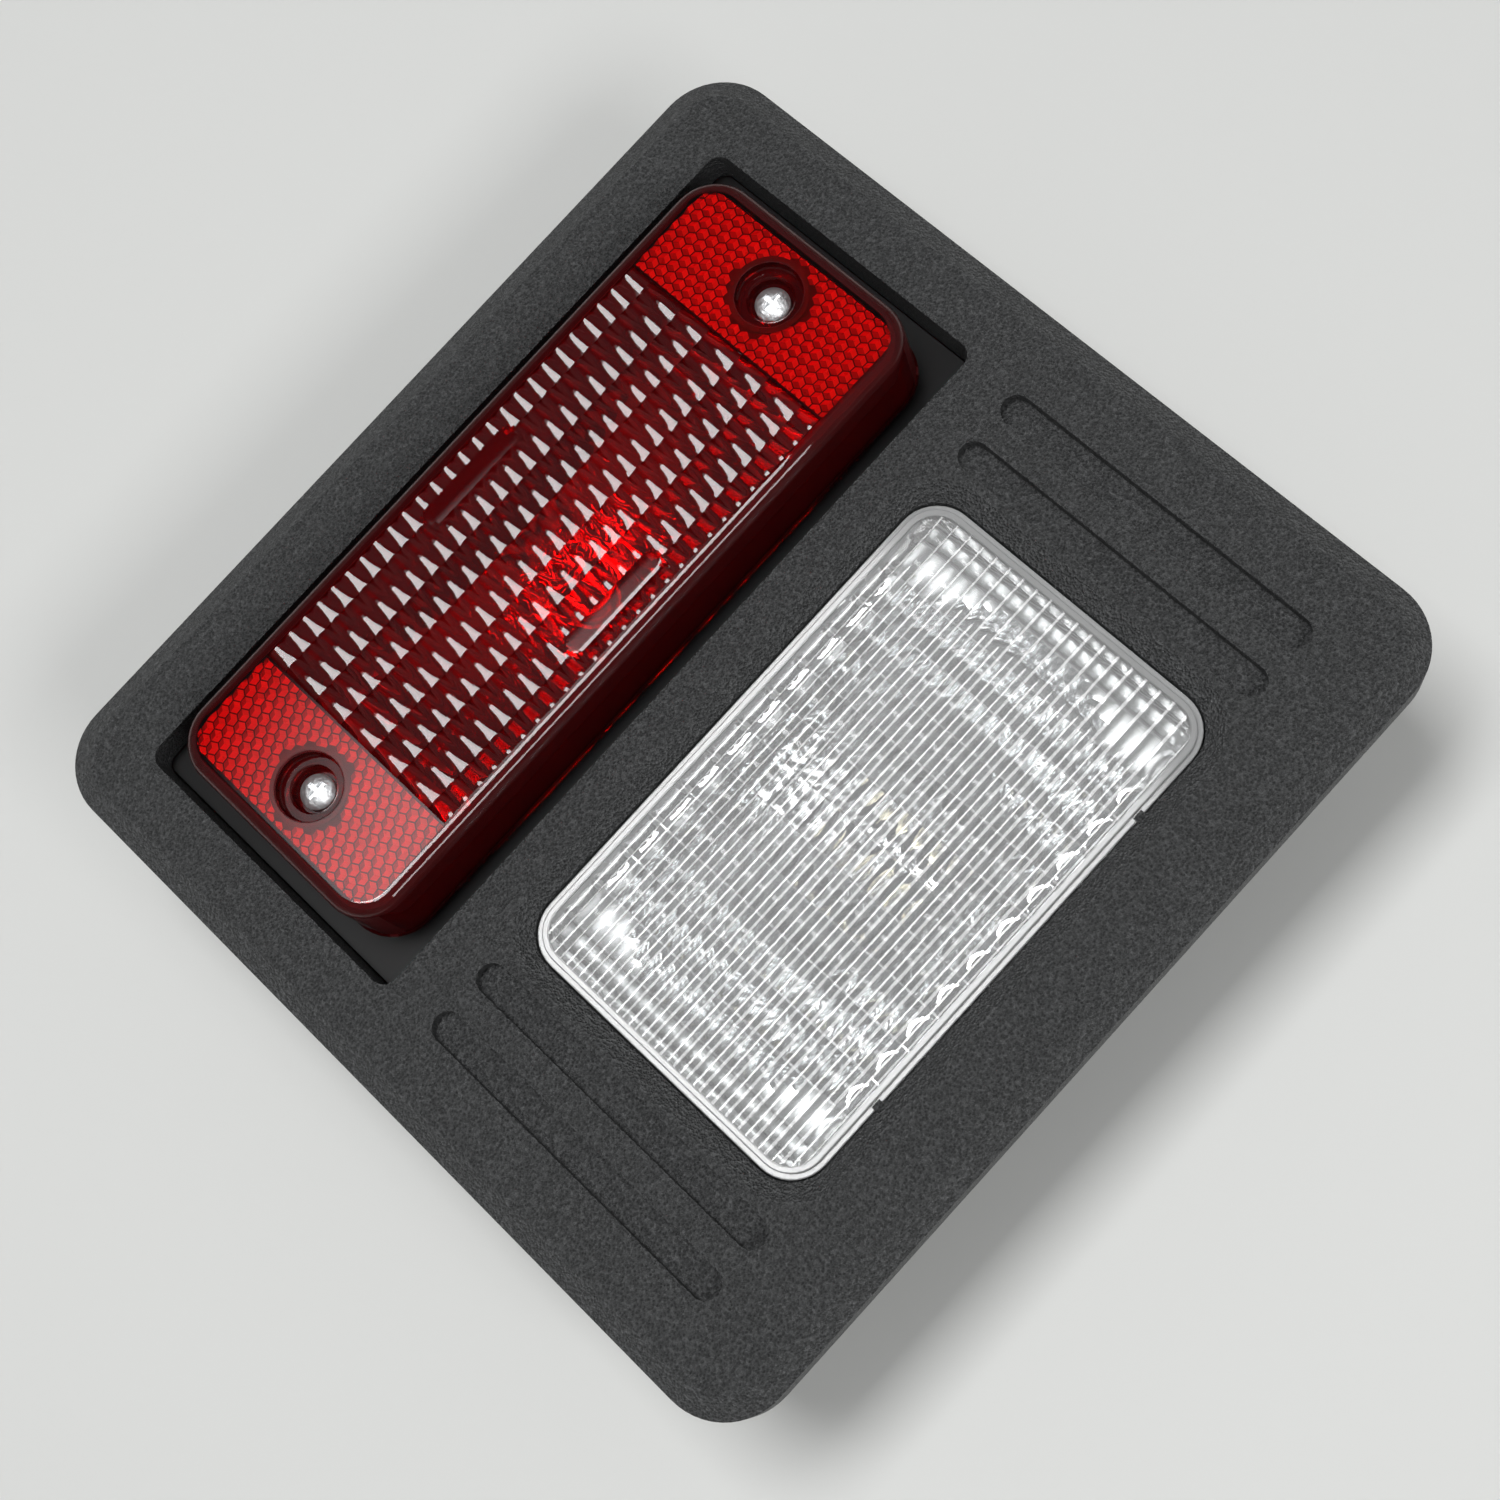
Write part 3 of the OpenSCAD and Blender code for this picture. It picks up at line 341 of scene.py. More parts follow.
class Nodes:
    """A material's node tree with short ways to add to it."""

    def __init__(self, name: str) -> None:
        """Starts a material with one Principled shader.

        Args:
            name: Name of the material.
        """
        self.material = bpy.data.materials.new(name)
        self.material.use_nodes = True
        self.tree = self.material.node_tree
        self.shader = self.find("BSDF_PRINCIPLED")
        self.coords = self.add("ShaderNodeTexCoord").outputs["Object"]

    def add(self, kind: str, **values: object) -> bpy.types.Node:
        """Adds a node.

        Args:
            kind: The node's type.
            values: Socket values by name with spaces as underscores, or the node's own properties.

        Returns:
            The node.
        """
        node = self.tree.nodes.new(kind)
        for key, value in values.items():
            socket = node.inputs.get(key.replace("_", " "))
            if socket is None or hasattr(node, key):
                setattr(node, key, value)
            elif isinstance(value, Socket):
                self.link(value, socket)
            else:
                socket.default_value = value
        return node

    def find(self, kind: str) -> bpy.types.Node:
        """Returns the tree's first node of a type."""
        return next(node for node in self.tree.nodes if node.type == kind)

    def link(self, source: Socket, target: Socket) -> None:
        """Links two sockets."""
        self.tree.links.new(source, target)

    def set(self, **values: object) -> None:
        """Sets the shader's own sockets, or links them.

        Args:
            values: Values or sockets by name with spaces as underscores.
        """
        for key, value in values.items():
            socket = self.shader.inputs[key.replace("_", " ")]
            if isinstance(value, Socket):
                self.link(value, socket)
            else:
                socket.default_value = value

    def noise(self, size: float, detail: float = 2.0) -> Socket:
        """Returns noise whose lumps are about size millimetres across."""
        node = self.add("ShaderNodeTexNoise", Scale=1 / (size * MM), Detail=detail, Vector=self.coords)
        return node.outputs["Fac"]

    def span(self, source: Socket, low: float, high: float) -> Socket:
        """Maps a 0 to 1 value onto a range.

        Args:
            source: The value.
            low: What 0 becomes.
            high: What 1 becomes.

        Returns:
            The mapped value.
        """
        node = self.add("ShaderNodeMapRange", Value=source)
        node.inputs["To Min"].default_value = low
        node.inputs["To Max"].default_value = high
        return node.outputs["Result"]

    def blend(self, source: Socket, low: Colour | Socket, high: Colour) -> Socket:
        """Maps a 0 to 1 value onto two colours.

        Args:
            source: The value.
            low: The colour at 0, or a socket that gives it.
            high: The colour at 1.

        Returns:
            The colour.
        """
        node = self.add("ShaderNodeMix", data_type="RGBA")
        factor, first, second = (node.inputs[index] for index in (0, 6, 7))
        self.link(source, factor)
        if isinstance(low, Socket):
            self.link(low, first)
        else:
            first.default_value = (*low, 1)
        second.default_value = (*high, 1)
        return node.outputs[2]

    def bump(self, height: Socket, depth: float, normal: Socket | None = None) -> Socket:
        """Tilts a normal by the slopes of a height.

        Args:
            height: The height, from 0 to 1.
            depth: What 1 stands for, in millimetres.
            normal: The normal to start from, if not the surface's own.

        Returns:
            The tilted normal.
        """
        node = self.add("ShaderNodeBump", Strength=1.0, Distance=depth * MM, Height=height)
        if normal:
            self.link(normal, node.inputs["Normal"])
        return node.outputs["Normal"]

    def soft_edges(self, radius: float) -> Socket:
        """Returns a normal that rounds every edge by a radius in millimetres."""
        return self.add("ShaderNodeBevel", samples=3, Radius=radius * MM).outputs["Normal"]


@dataclass(frozen=True)
class GrainedPlastic:
    """Moulded plastic with a leather grain.

    Args:
        name: Name of the material.
        dark: Colour in the grain's valleys, a painted shade.
        light: Colour on its islands, painted light on their tops.
        cell: Size of the grain in millimetres.
        depth: Depth of the grain in millimetres.
        rough: Lowest and highest roughness.
        gloss: Strength of the reflection.
        edge: Rounding of the edges in millimetres.
        warp: How far the grain's islands are pulled out of round, as a share of their size.
        fine: Size of the fine pits in millimetres.
        fine_share: Their share of the depth.
        patch: Size of the patches with the same roughness in millimetres.
    """

    name: str
    dark: Colour = (0.009, 0.0093, 0.0096)
    light: Colour = (0.07, 0.0715, 0.073)
    cell: float = 0.62
    depth: float = 0.75
    rough: Range = (0.42, 0.56)
    gloss: float = 0.45
    edge: float = 0.5
    warp: float = 0.8
    fine: float = 0.25
    fine_share: float = 0.35
    patch: float = 6.0

    def build(self) -> Material:
        """Builds the node tree.

        Returns:
            The material.
        """
        nodes = Nodes(self.name)
        warp = nodes.add("ShaderNodeTexNoise", Scale=1 / (2 * self.cell * MM), Detail=0.0,
                         Vector=nodes.coords)
        offset = nodes.add("ShaderNodeVectorMath", operation="MULTIPLY_ADD")
        nodes.link(warp.outputs["Color"], offset.inputs[0])
        offset.inputs[1].default_value = (self.cell * self.warp * MM,) * 3
        nodes.link(nodes.coords, offset.inputs[2])
        cells = nodes.add("ShaderNodeTexVoronoi", feature="F1", Scale=1 / (self.cell * MM),
                          Vector=offset.outputs[0])
        grain_height_and_shade = nodes.add("ShaderNodeMath", operation="MULTIPLY_ADD")
        nodes.link(nodes.noise(self.fine, 1.0), grain_height_and_shade.inputs[0])
        grain_height_and_shade.inputs[1].default_value = self.fine_share
        nodes.link(cells.outputs["Distance"], grain_height_and_shade.inputs[2])
        # The grain's height also sets its colour: painted shade in the valleys, painted light on the islands
        nodes.set(
            Base_Color=nodes.blend(grain_height_and_shade.outputs[0], self.dark, self.light),
            Roughness=nodes.span(nodes.noise(self.patch, 1.0), *self.rough),
            Specular_IOR_Level=self.gloss,
            Normal=nodes.bump(grain_height_and_shade.outputs[0], self.depth, nodes.soft_edges(self.edge)),
        )
        return nodes.material


@dataclass(frozen=True)
class PlainPlastic:
    """Smooth moulded plastic or rubber with faint flow marks.

    Args:
        name: Name of the material.
        dark: Its darkest colour.
        light: Its lightest colour.
        rough: Lowest and highest roughness.
        edge: Rounding of the edges in millimetres.
        flow: Size of the flow marks in millimetres.
        patch: Size of the patches with the same roughness in millimetres.
        pit: Size and depth of the fine pits in millimetres.
    """

    name: str
    dark: Colour
    light: Colour
    rough: Range = (0.38, 0.52)
    edge: float = 0.3
    flow: float = 14.0
    patch: float = 4.0
    pit: Range = (0.6, 0.012)

    def build(self) -> Material:
        """Builds the node tree.

        Returns:
            The material.
        """
        nodes = Nodes(self.name)
        nodes.set(
            Base_Color=nodes.blend(nodes.noise(self.flow), self.dark, self.light),
            Roughness=nodes.span(nodes.noise(self.patch, 1.0), *self.rough),
            Normal=nodes.bump(nodes.noise(self.pit[0], 1.0), self.pit[1], nodes.soft_edges(self.edge)),
        )
        return nodes.material


@dataclass(frozen=True)
class ClearMoulding:
    """Transparent moulded plastic or thin glass, plain or coloured right through.

    Args:
        name: Name of the material.
        deep: Its darkest tint.
        pale: Its lightest tint.
        ior: Strength of its refraction.
        rough: Its roughness.
        ripple: Depth of the moulding's ripple in millimetres.
        ripple_size: Size of the ripple in millimetres.
        milk: Share of cloudy, scattering plastic.
        coat: Strength of a clear coat.
        dye: Colour that it takes on with depth.
        dye_density: How fast it does, per metre.
        cloud: Size of the patches of tint in millimetres.
    """

    name: str
    deep: Colour
    pale: Colour
    ior: float = 1.49
    rough: float = 0.015
    ripple: float = 0.004
    ripple_size: float = 5.0
    milk: float = 0.0
    coat: float = 0.0
    dye: Colour | None = None
    dye_density: float = 1400.0
    cloud: float = 30.0

    def build(self) -> Material:
        """Builds the node tree.

        Returns:
            The material.
        """
        nodes = Nodes(self.name)
        if self.dye:
            depth = nodes.add("ShaderNodeVolumeAbsorption", Color=(*self.dye, 1), Density=self.dye_density)
            nodes.link(depth.outputs["Volume"], nodes.find("OUTPUT_MATERIAL").inputs["Volume"])
        nodes.set(
            Base_Color=nodes.blend(nodes.noise(self.cloud), self.deep, self.pale),
            Transmission_Weight=1.0 - self.milk,
            Coat_Weight=self.coat,
            IOR=self.ior,
            Roughness=self.rough,
            Normal=nodes.bump(nodes.noise(self.ripple_size), self.ripple),
        )
        return nodes.material


@dataclass(frozen=True)
class Metal:
    """Bare or plated metal with fine scratches and a slightly uneven surface.

    Args:
        name: Name of the material.
        dark: Its darkest colour.
        light: Its lightest colour.
        rough: Lowest and highest roughness.
        dent: Depth of the dents in millimetres.
        dent_size: Size of the dents in millimetres.
        stain: Size of the patches of colour in millimetres.
        scratch: Size of the patches of roughness in millimetres.
    """

    name: str
    dark: Colour
    light: Colour
    rough: Range = (0.18, 0.32)
    dent: float = 0.01
    dent_size: float = 1.2
    stain: float = 3.0
    scratch: float = 1.4

    def build(self) -> Material:
        """Builds the node tree.

        Returns:
            The material.
        """
        nodes = Nodes(self.name)
        nodes.set(
            Metallic=1.0,
            Base_Color=nodes.blend(nodes.noise(self.stain, 4.0), self.dark, self.light),
            Roughness=nodes.span(nodes.noise(self.scratch, 4.0), *self.rough),
            Normal=nodes.bump(nodes.noise(self.dent_size, 3.0), self.dent),
        )
        return nodes.material


@dataclass(frozen=True)
class MirrorCoat:
    """Bright metallised plastic with turned rings round a lamp's axis.

    Args:
        name: Name of the material.
        colour: Its colour on the rings' crests.
        axis_y: Place of the lamp's axis along y in millimetres.
        ring: Distance between the rings in millimetres.
        depth: Depth of the rings in millimetres.
        twist: How far the rings wander.
        lump: Size of the surface's lumps in millimetres.
        lump_depth: Depth of the lumps in millimetres.
        rough: Lowest and highest roughness.
        painted_ring_shade: Brightness between the crests, as a share: a painted shade for the rings' darker
            reflections.
        bowl: Radius up to which the coat is bright, in millimetres.
        border: Start and end of its edge, from that radius.
        rim: Brightness outside the bowl, as a share.
        dull: Roughness that is added there.
        patch: Size of the patches with the same roughness in millimetres.
    """

    name: str
    colour: Colour
    axis_y: float
    ring: float
    depth: float
    twist: float = 1.6
    lump: float = 6.0
    lump_depth: float = 0.06
    rough: Range = (0.03, 0.07)
    painted_ring_shade: float = 1.0
    bowl: float = 57.0
    border: Range = (-0.6, 0.3)
    rim: float = 0.38
    dull: float = 0.35
    patch: float = 3.0

    def shade(self, share: float) -> Colour:
        """Returns the coat's colour, darkened to a share."""
        return tuple(share * channel for channel in self.colour)

    def build(self) -> Material:
        """Builds the node tree.

        Returns:
            The material.
        """
        nodes = Nodes(self.name)
        centre = nodes.add("ShaderNodeMapping", Vector=nodes.coords)
        centre.inputs["Location"].default_value = (0, -self.axis_y * MM, 0)
        wave = nodes.add("ShaderNodeTexWave", wave_type="RINGS", rings_direction="Z", wave_profile="SIN",
                         Scale=1 / (self.ring * MM * math.tau), Distortion=self.twist, Detail=2.0,
                         Vector=centre.outputs[0])
        rings = wave.outputs["Fac"]
        flat = nodes.add("ShaderNodeVectorMath", operation="MULTIPLY")
        nodes.link(centre.outputs[0], flat.inputs[0])
        flat.inputs[1].default_value = (1, 1, 0)
        radius = nodes.add("ShaderNodeVectorMath", operation="LENGTH")
        nodes.link(flat.outputs[0], radius.inputs[0])
        outside = nodes.add("ShaderNodeMapRange")
        nodes.link(radius.outputs["Value"], outside.inputs["Value"])
        for name, edge in zip(("From Min", "From Max"), self.border):
            outside.inputs[name].default_value = (self.bowl + edge) * MM
        lift = nodes.add("ShaderNodeMath", operation="MULTIPLY_ADD")
        nodes.link(outside.outputs["Result"], lift.inputs[0])
        lift.inputs[1].default_value = self.dull
        nodes.link(nodes.span(nodes.noise(self.patch, 1.0), *self.rough), lift.inputs[2])
        # Between the crests the coat is darker: painted shade for the reflections of turned rings
        bright = nodes.blend(rings, self.shade(self.painted_ring_shade), self.colour)
        nodes.set(
            Metallic=1.0,
            Base_Color=nodes.blend(outside.outputs["Result"], bright, self.shade(self.rim)),
            Roughness=lift.outputs[0],
            Normal=nodes.bump(rings, self.depth, nodes.bump(nodes.noise(self.lump, 1.0), self.lump_depth)),
        )
        return nodes.material


@dataclass(frozen=True)
class PrismRed:
    """Red faces of the reflex prisms, seen through the lens.

    Args:
        name: Name of the material.
        dark: Its darkest colour.
        light: Its lightest colour.
        metal: Share of mirror-like reflection.
        rough: Lowest and highest roughness.
        tint: Size of the patches of colour in millimetres.
        patch: Size of the patches with the same roughness in millimetres.
        pit: Size and depth of the fine pits in millimetres.
    """

    name: str
    dark: Colour = (0.96, 0.03, 0.02)
    light: Colour = (1.0, 0.06, 0.035)
    metal: float = 0.12
    rough: Range = (0.22, 0.38)
    tint: float = 2.2
    patch: float = 1.5
    pit: Range = (0.7, 0.02)

    def build(self) -> Material:
        """Builds the node tree.

        Returns:
            The material.
        """
        nodes = Nodes(self.name)
        nodes.set(
            Metallic=self.metal,
            Base_Color=nodes.blend(nodes.noise(self.tint, 3.0), self.dark, self.light),
            Roughness=nodes.span(nodes.noise(self.patch), *self.rough),
            Normal=nodes.bump(nodes.noise(self.pit[0]), self.pit[1]),
        )
        return nodes.material


# Lenses


@dataclass
class PrismField:
    """Rows of conical flutes in the middle of the red lens, in millimetres.

    Args:
        columns: Flutes in a row.
        width: Width of a flute.
        lines: Row boundaries from the lens's middle.
        long_row: Length of a whole long row.
        segments: Faces across and along a flute.
        flat: Curvature at a row's lower end, in 1/mm.
        round: Curvature at its upper end.
        tilts: Slopes of the crest before and after its knee, in degrees.
        knee: Share of the row at which the slope changes.
        recess: Depth of the highest crest below the lens's face.
        pad_offset: Distance of the bare pads' middles from the lens's middle.
        pad_length: Length of a pad.
        pad_width: Width of a pad.
        pad_wall: Width of the wall round a pad.
        pad_room: Smallest distance of another grid line from a pad's edge.
        pad_edge: Depth of a pad's rounded edge below its face.
    """

    columns: int = 26
    width: float = 4.6
    lines: Sizes = (-29.0, -23.45, -13.35, -4.95, 4.95, 13.35, 23.45, 29.0)
    long_row: float = 10.1
    segments: tuple[int, int] = (8, 10)
    flat: float = 0.042
    round: float = 0.215
    tilts: Range = (7.0, -4.0)
    knee: float = 0.54
    recess: float = 0.25
    pad_offset: float = 22.8
    pad_length: float = 28.6
    pad_width: float = 5.0
    pad_wall: float = 0.3
    pad_room: float = 0.25
    pad_edge: float = 0.04

    def half_width(self) -> float:
        """Returns half of the field's width."""
        return self.columns * self.width / 2

    def x_lines(self) -> list[float]:
        """Returns the grid lines across x."""
        half = self.half_width()
        return spread(-half, half, self.columns * self.segments[0])

    def y_lines(self) -> list[tuple[float, int]]:
        """Works out the grid lines across y.

        Returns:
            The lines, each with its row.
        """
        made = []
        half = self.pad_width / 2
        sides = [self.pad_offset + way * (half + more) for way in (-1, 1) for more in (0, self.pad_wall)]
        for row, (low, high) in enumerate(zip(self.lines, self.lines[1:])):
            places = spread(low + NEAR, high - NEAR, self.segments[1])
            places = [y for y in places if all(abs(abs(y) - side) > self.pad_room for side in sides)]
            signed = [way * side for way in (-1, 1) for side in sides]
            places += [side for side in signed if low + 2 * NEAR < side < high - 2 * NEAR]
            made += [(y, row) for y in sorted(places)]
        return made

    def along(self, y: float, row: int) -> tuple[float, float]:
        """Places a line in its row.

        Args:
            y: Place of the line.
            row: Its row.

        Returns:
            Its distance from the row's lower end, and the row's length.
        """
        low, high = self.lines[row], self.lines[row + 1]
        # The first and the last row are a long row's upper and lower part
        if row == 0:
            return y - high + self.long_row, self.long_row
        if row == len(self.lines) - 2:
            return y - low, self.long_row
        return y - low, high - low

    def rise(self, run: float, length: float) -> float:
        """Follows the crest of a flute.

        Args:
            run: Distance from the row's lower end.
            length: The row's length.

        Returns:
            Height of the crest over the row's lower end.
        """
        knee = self.knee * length
        low, high = (math.tan(math.radians(tilt)) for tilt in self.tilts)
        return low * min(run, knee) + high * max(run - knee, 0.0)

    def height(self, x: float, y: float, row: int) -> float:
        """Works out the surface of the flutes.

        Args:
            x: Place from the lens's middle along x.
            y: Place along y.
            row: The row there.

        Returns:
            Height from the lens's face, below zero.
        """
        run, length = self.along(y, row)
        top = max(self.rise(length * share, length) for share in (0, self.knee, 1))
        curve = self.flat + (self.round - self.flat) * min(max(run / length, 0), 1)
        across = (x + self.half_width()) % self.width - self.width / 2
        return self.rise(run, length) - top - self.recess - curve * across * across

    def to_pad(self, x: float, y: float) -> float:
        """Measures the way to the nearer bare pad.

        Args:
            x: Place from the lens's middle along x.
            y: Place along y.

        Returns:
            Distance to the pad's edge, negative inside it.
        """
        half = self.pad_width / 2
        past = max(abs(x) - (self.pad_length / 2 - half), 0.0)
        return math.hypot(past, abs(y) - self.pad_offset) - half


@dataclass
class TailLens:
    """The red lens: flange, dome, screw wells, prism field, pads and reflex prisms.

    Args:
        red: Finish of the body.
        window: Finish of the face over the reflex prisms.
        frosted_painted_shade: Finish of the flange: rough, and darkened with painted shade.
        prism: Finish of the prisms' faces.
        painted_shade_backing: Painted shade: dark finish of the plate behind them, the collars and the inner
            walls.
        shade: Finish of the faces that lean toward -x and +y, a painted shade.
        painted_highlight: Finish of the faces that lean the other way, a painted highlight.
        y: Middle of the lens along y.
        top: Height of its face.
        seat: Height of its foot.
        dome: Outline of the dome under its fillet.
        flange: Outline of the flange.
        flange_t: Thickness of the flange.
        flange_edge: Chamfer of its edge.
        foot_round: Width and height of the dome's flared foot.
        foot_lean: Share of the dome's lean that is reached over its foot.
        wall: Thickness of the walls.
        fillet: Radius of the dome's upper edge.
        fillet_steps: Faces round it.
        border: Width of the flat border inside it.
        ceiling_edge: Chamfer of the cavity's ceiling.
        band: How far the cavity's wall reaches in and out from its ceiling's edge.
        draft: Slope of the walls in degrees.
        screw_x: Distance of the screws from the middle.
        well: Diameter and depth of a screw well.
        low_well: Diameter and depth of its lower step.
        floor_t: Thickness of the well's floor.
        bore: Diameter of the screw hole.
        boss: Diameter of the boss round it.
        ring: Width of the clear ring round a well.
        boss_wall: Wall of the boss under a well's lower step.
        soft: Rounding of the well's edges.
        pitch: Distance between the prisms.
        gap: Width of the lines between them.
        zone: Start and end of the prisms along x, and half of their height.
        zone_corner: Radius of the zone's outer corners.
        corner_cuts: Angles of the straight cuts that round them, in degrees.
        prism_top: Depth of the prisms below the face.
        facet_tilt: Slope of the prisms' faces in degrees.
        first: Place of the first column of prisms, as a share of a step.
        well_room: Room between a prism and a well's ring.
        plate_gap: Room between the prisms and the plate behind them.
        collar: How much wider a well's collar, dark with painted shade, is than the well and than its ring.
        collar_rise: Height of the collar above the prisms.
        collar_steps: Points on each quarter of it.
        lean: Least slope at which a face takes the painted shade or the painted highlight.
        field: The flutes between the two zones.
    """

    red: Material
    window: Material
    frosted_painted_shade: Material
    prism: Material
    painted_shade_backing: Material
    shade: Material
    painted_highlight: Material
    y: float = TAIL_Y
    top: float = 75.5
    seat: float = 50.0
    dome: Outline = Outline(179, 66, 11, 0, TAIL_Y)
    flange: Outline = Outline(191.2, 79.2, 3.1, 0, TAIL_Y)
    flange_t: float = 4.0
    flange_edge: float = 0.4
    foot_round: Range = (0.5, 0.6)
    foot_lean: float = 0.97
    wall: float = 2.6
    fillet: float = 3.2
    fillet_steps: int = 7
    border: float = 0.3
    ceiling_edge: float = 0.8
    band: Range = (3.5, 1.0)
    draft: float = 1.5
    screw_x: float = 74.2
    well: Range = (15.6, 3.0)
    low_well: Range = (10.6, 6.5)
    floor_t: float = 2.4
    bore: float = 4.0
    boss: float = 9.0
    ring: float = 1.2
    boss_wall: float = 2.0
    soft: float = 0.35
    pitch: float = 2.85
    gap: float = 0.3
    zone: Sizes = (60.4, 85.4, 29.2)
    zone_corner: float = 5.0
    corner_cuts: Sizes = (22.5, 45, 67.5)
    prism_top: float = 0.5
    facet_tilt: float = 26.0
    first: float = 0.15
    well_room: float = 0.4
    plate_gap: float = 0.15
    collar: Range = (0.3, 0.5)
    collar_rise: float = 0.05
    collar_steps: int = 18
    lean: float = 0.2
    field: PrismField = field(default_factory=PrismField)

    def build(self) -> None:
        """Builds the lens and its reflex prisms."""
        self.lens()
        self.prisms()

    def dome_rings(self) -> list[Ring]:
        """Works out the lens's outer wall.

        Returns:
            The rings from the flat top down to the flange and under it.
        """
        rings = [(self.dome.grown(-self.fillet - self.border), self.top)]
        for angle in spread(0, 90, self.fillet_steps):
            inward = self.fillet * (1 - math.sin(math.radians(angle)))
            drop = self.fillet * (1 - math.cos(math.radians(angle)))
            rings.append((self.dome.grown(-inward), self.top - drop))
        foot = self.seat + self.flange_t
        lean = (self.top - self.fillet - foot) * math.tan(math.radians(self.draft))
        flare, rise = self.foot_round
        return rings + [
            (self.dome.grown(lean * self.foot_lean), foot + rise),
            (self.dome.grown(lean + flare), foot),
            (self.flange.grown(-self.flange_edge), foot),
            (self.flange, foot - self.flange_edge),
            (self.flange, self.seat),
        ]

    def cavity_rings(self) -> list[Ring]:
        """Works out the wall of the space inside.

        Returns:
            The rings from its mouth up to its ceiling.
        """
        ceiling = self.top - self.wall
        lean = (ceiling - self.seat) * math.tan(math.radians(self.draft))
        inner, edge = self.dome.grown(-self.wall), self.ceiling_edge
        return [(inner.grown(lean), self.seat), (inner, ceiling - edge), (inner.grown(-edge), ceiling)]

    def well_rings(self, x: float) -> list[Ring]:
        """Works out the wall of a screw well and its boss.

        Args:
            x: The well's place.

        Returns:
            The rings from the face down the bore and up the boss.
        """
        (wide, depth), (narrow, low_depth) = self.well, self.low_well
        top, soft = self.top, self.soft
        outer, collar = narrow + 2 * self.boss_wall, wide + 2 * self.ring
        under, low_under = (top - d - self.floor_t for d in (depth, low_depth))
        steps = [
            (wide + 3.5 * soft, top), (wide + 2 * soft, top), (wide + 0.5 * soft, top - 0.3 * soft),
            (wide, top - soft), (wide, top - depth + soft), (wide - 2 * soft, top - depth),
            (narrow + 2 * soft, top - depth), (narrow, top - depth - soft),
            (narrow, top - low_depth + soft), (narrow - 2 * soft, top - low_depth),
            (self.bore, top - low_depth), (self.bore, self.seat), (self.boss, self.seat),
            (self.boss, low_under), (outer, low_under), (outer, under),
            (collar, under), (collar, top - self.wall),
        ]
        return [(Outline.circle(diameter, x, self.y), z) for diameter, z in steps]

    def lens(self) -> bpy.types.Object:
        """Builds the lens as one closed moulding.

        Returns:
            The lens.
        """
        shape = Shape()
        top_edge, ceiling = shape.stack(self.dome_rings() + self.cavity_rings())
        wells = [shape.stack(self.well_rings(side * self.screw_x)) for side in (-1, 1)]
        lines = self.field.y_lines()
        edge = shape.grid(self.field.x_lines(), [y + self.y for y, _ in lines],
                          lambda x, y, j: self.field_height(x, y - self.y, lines[j][1]))
        shape.fill(top_edge, shape.skirt(edge, self.top), *[well[0] for well in wells])
        shape.fill(ceiling, *[well[1] for well in wells])
        self.shape_pads(shape)
        looks = [self.red, self.window, self.frosted_painted_shade, self.painted_shade_backing]
        face, foot = self.top - NEAR, self.seat + self.flange_t + 5 * NEAR
        shape.mark(looks.index(self.window), lambda place: place.z > face and abs(place.x) > self.zone[0])
        # The flange is darkened with painted shade
        shape.mark(looks.index(self.frosted_painted_shade), lambda place: place.z < foot and not self.in_cavity(place))
        # The dome's inner walls are dark with painted shade
        shape.mark(looks.index(self.painted_shade_backing),
                   lambda place: place.z < self.top - self.wall and self.in_cavity(place))
        return shape.piece("red_lens", looks, Slot.RED, ["tail_lens"])

    def in_cavity(self, place: Vector) -> bool:
        """Tells whether a place lies on the wall of the space inside.

        Args:
            place: The place.

        Returns:
            True if it does.
        """
        inward, outward = self.band
        past_x = abs(place.x) - (self.dome.width / 2 - self.wall)
        past_y = abs(place.y - self.y) - (self.dome.height / 2 - self.wall)
        on_wall = -inward < max(past_x, past_y) < outward
        return on_wall and place.z > self.seat + 5 * NEAR

    def field_height(self, x: float, y: float, row: int) -> float:
        """Returns the height of the flutes at a place from the lens's middle."""
        return self.top + self.field.height(x, y, row)

    def shape_pads(self, shape: Shape) -> None:
        """Raises the bare pads out of the prism field.

        Args:
            shape: The lens, whose points are moved.
        """
        field = self.field
        reach = (field.pad_length - field.pad_width) / 2
        near = field.width / field.segments[0] / 2
        for vert in shape.bm.verts:
            x, y = vert.co.x, vert.co.y - self.y
            away = field.to_pad(x, y)
            on_field = self.top - self.wall + 20 * NEAR <= vert.co.z <= self.top - NEAR
            if away > near or not on_field:
                continue
            vert.co.z = self.top
            if abs(away) < near:
                axis = Vector((min(max(x, -reach), reach), math.copysign(field.pad_offset, y)))
                edge = axis + (Vector((x, y)) - axis).normalized() * field.pad_width / 2
                vert.co = Vector((edge.x, edge.y + self.y, self.top - field.pad_edge))

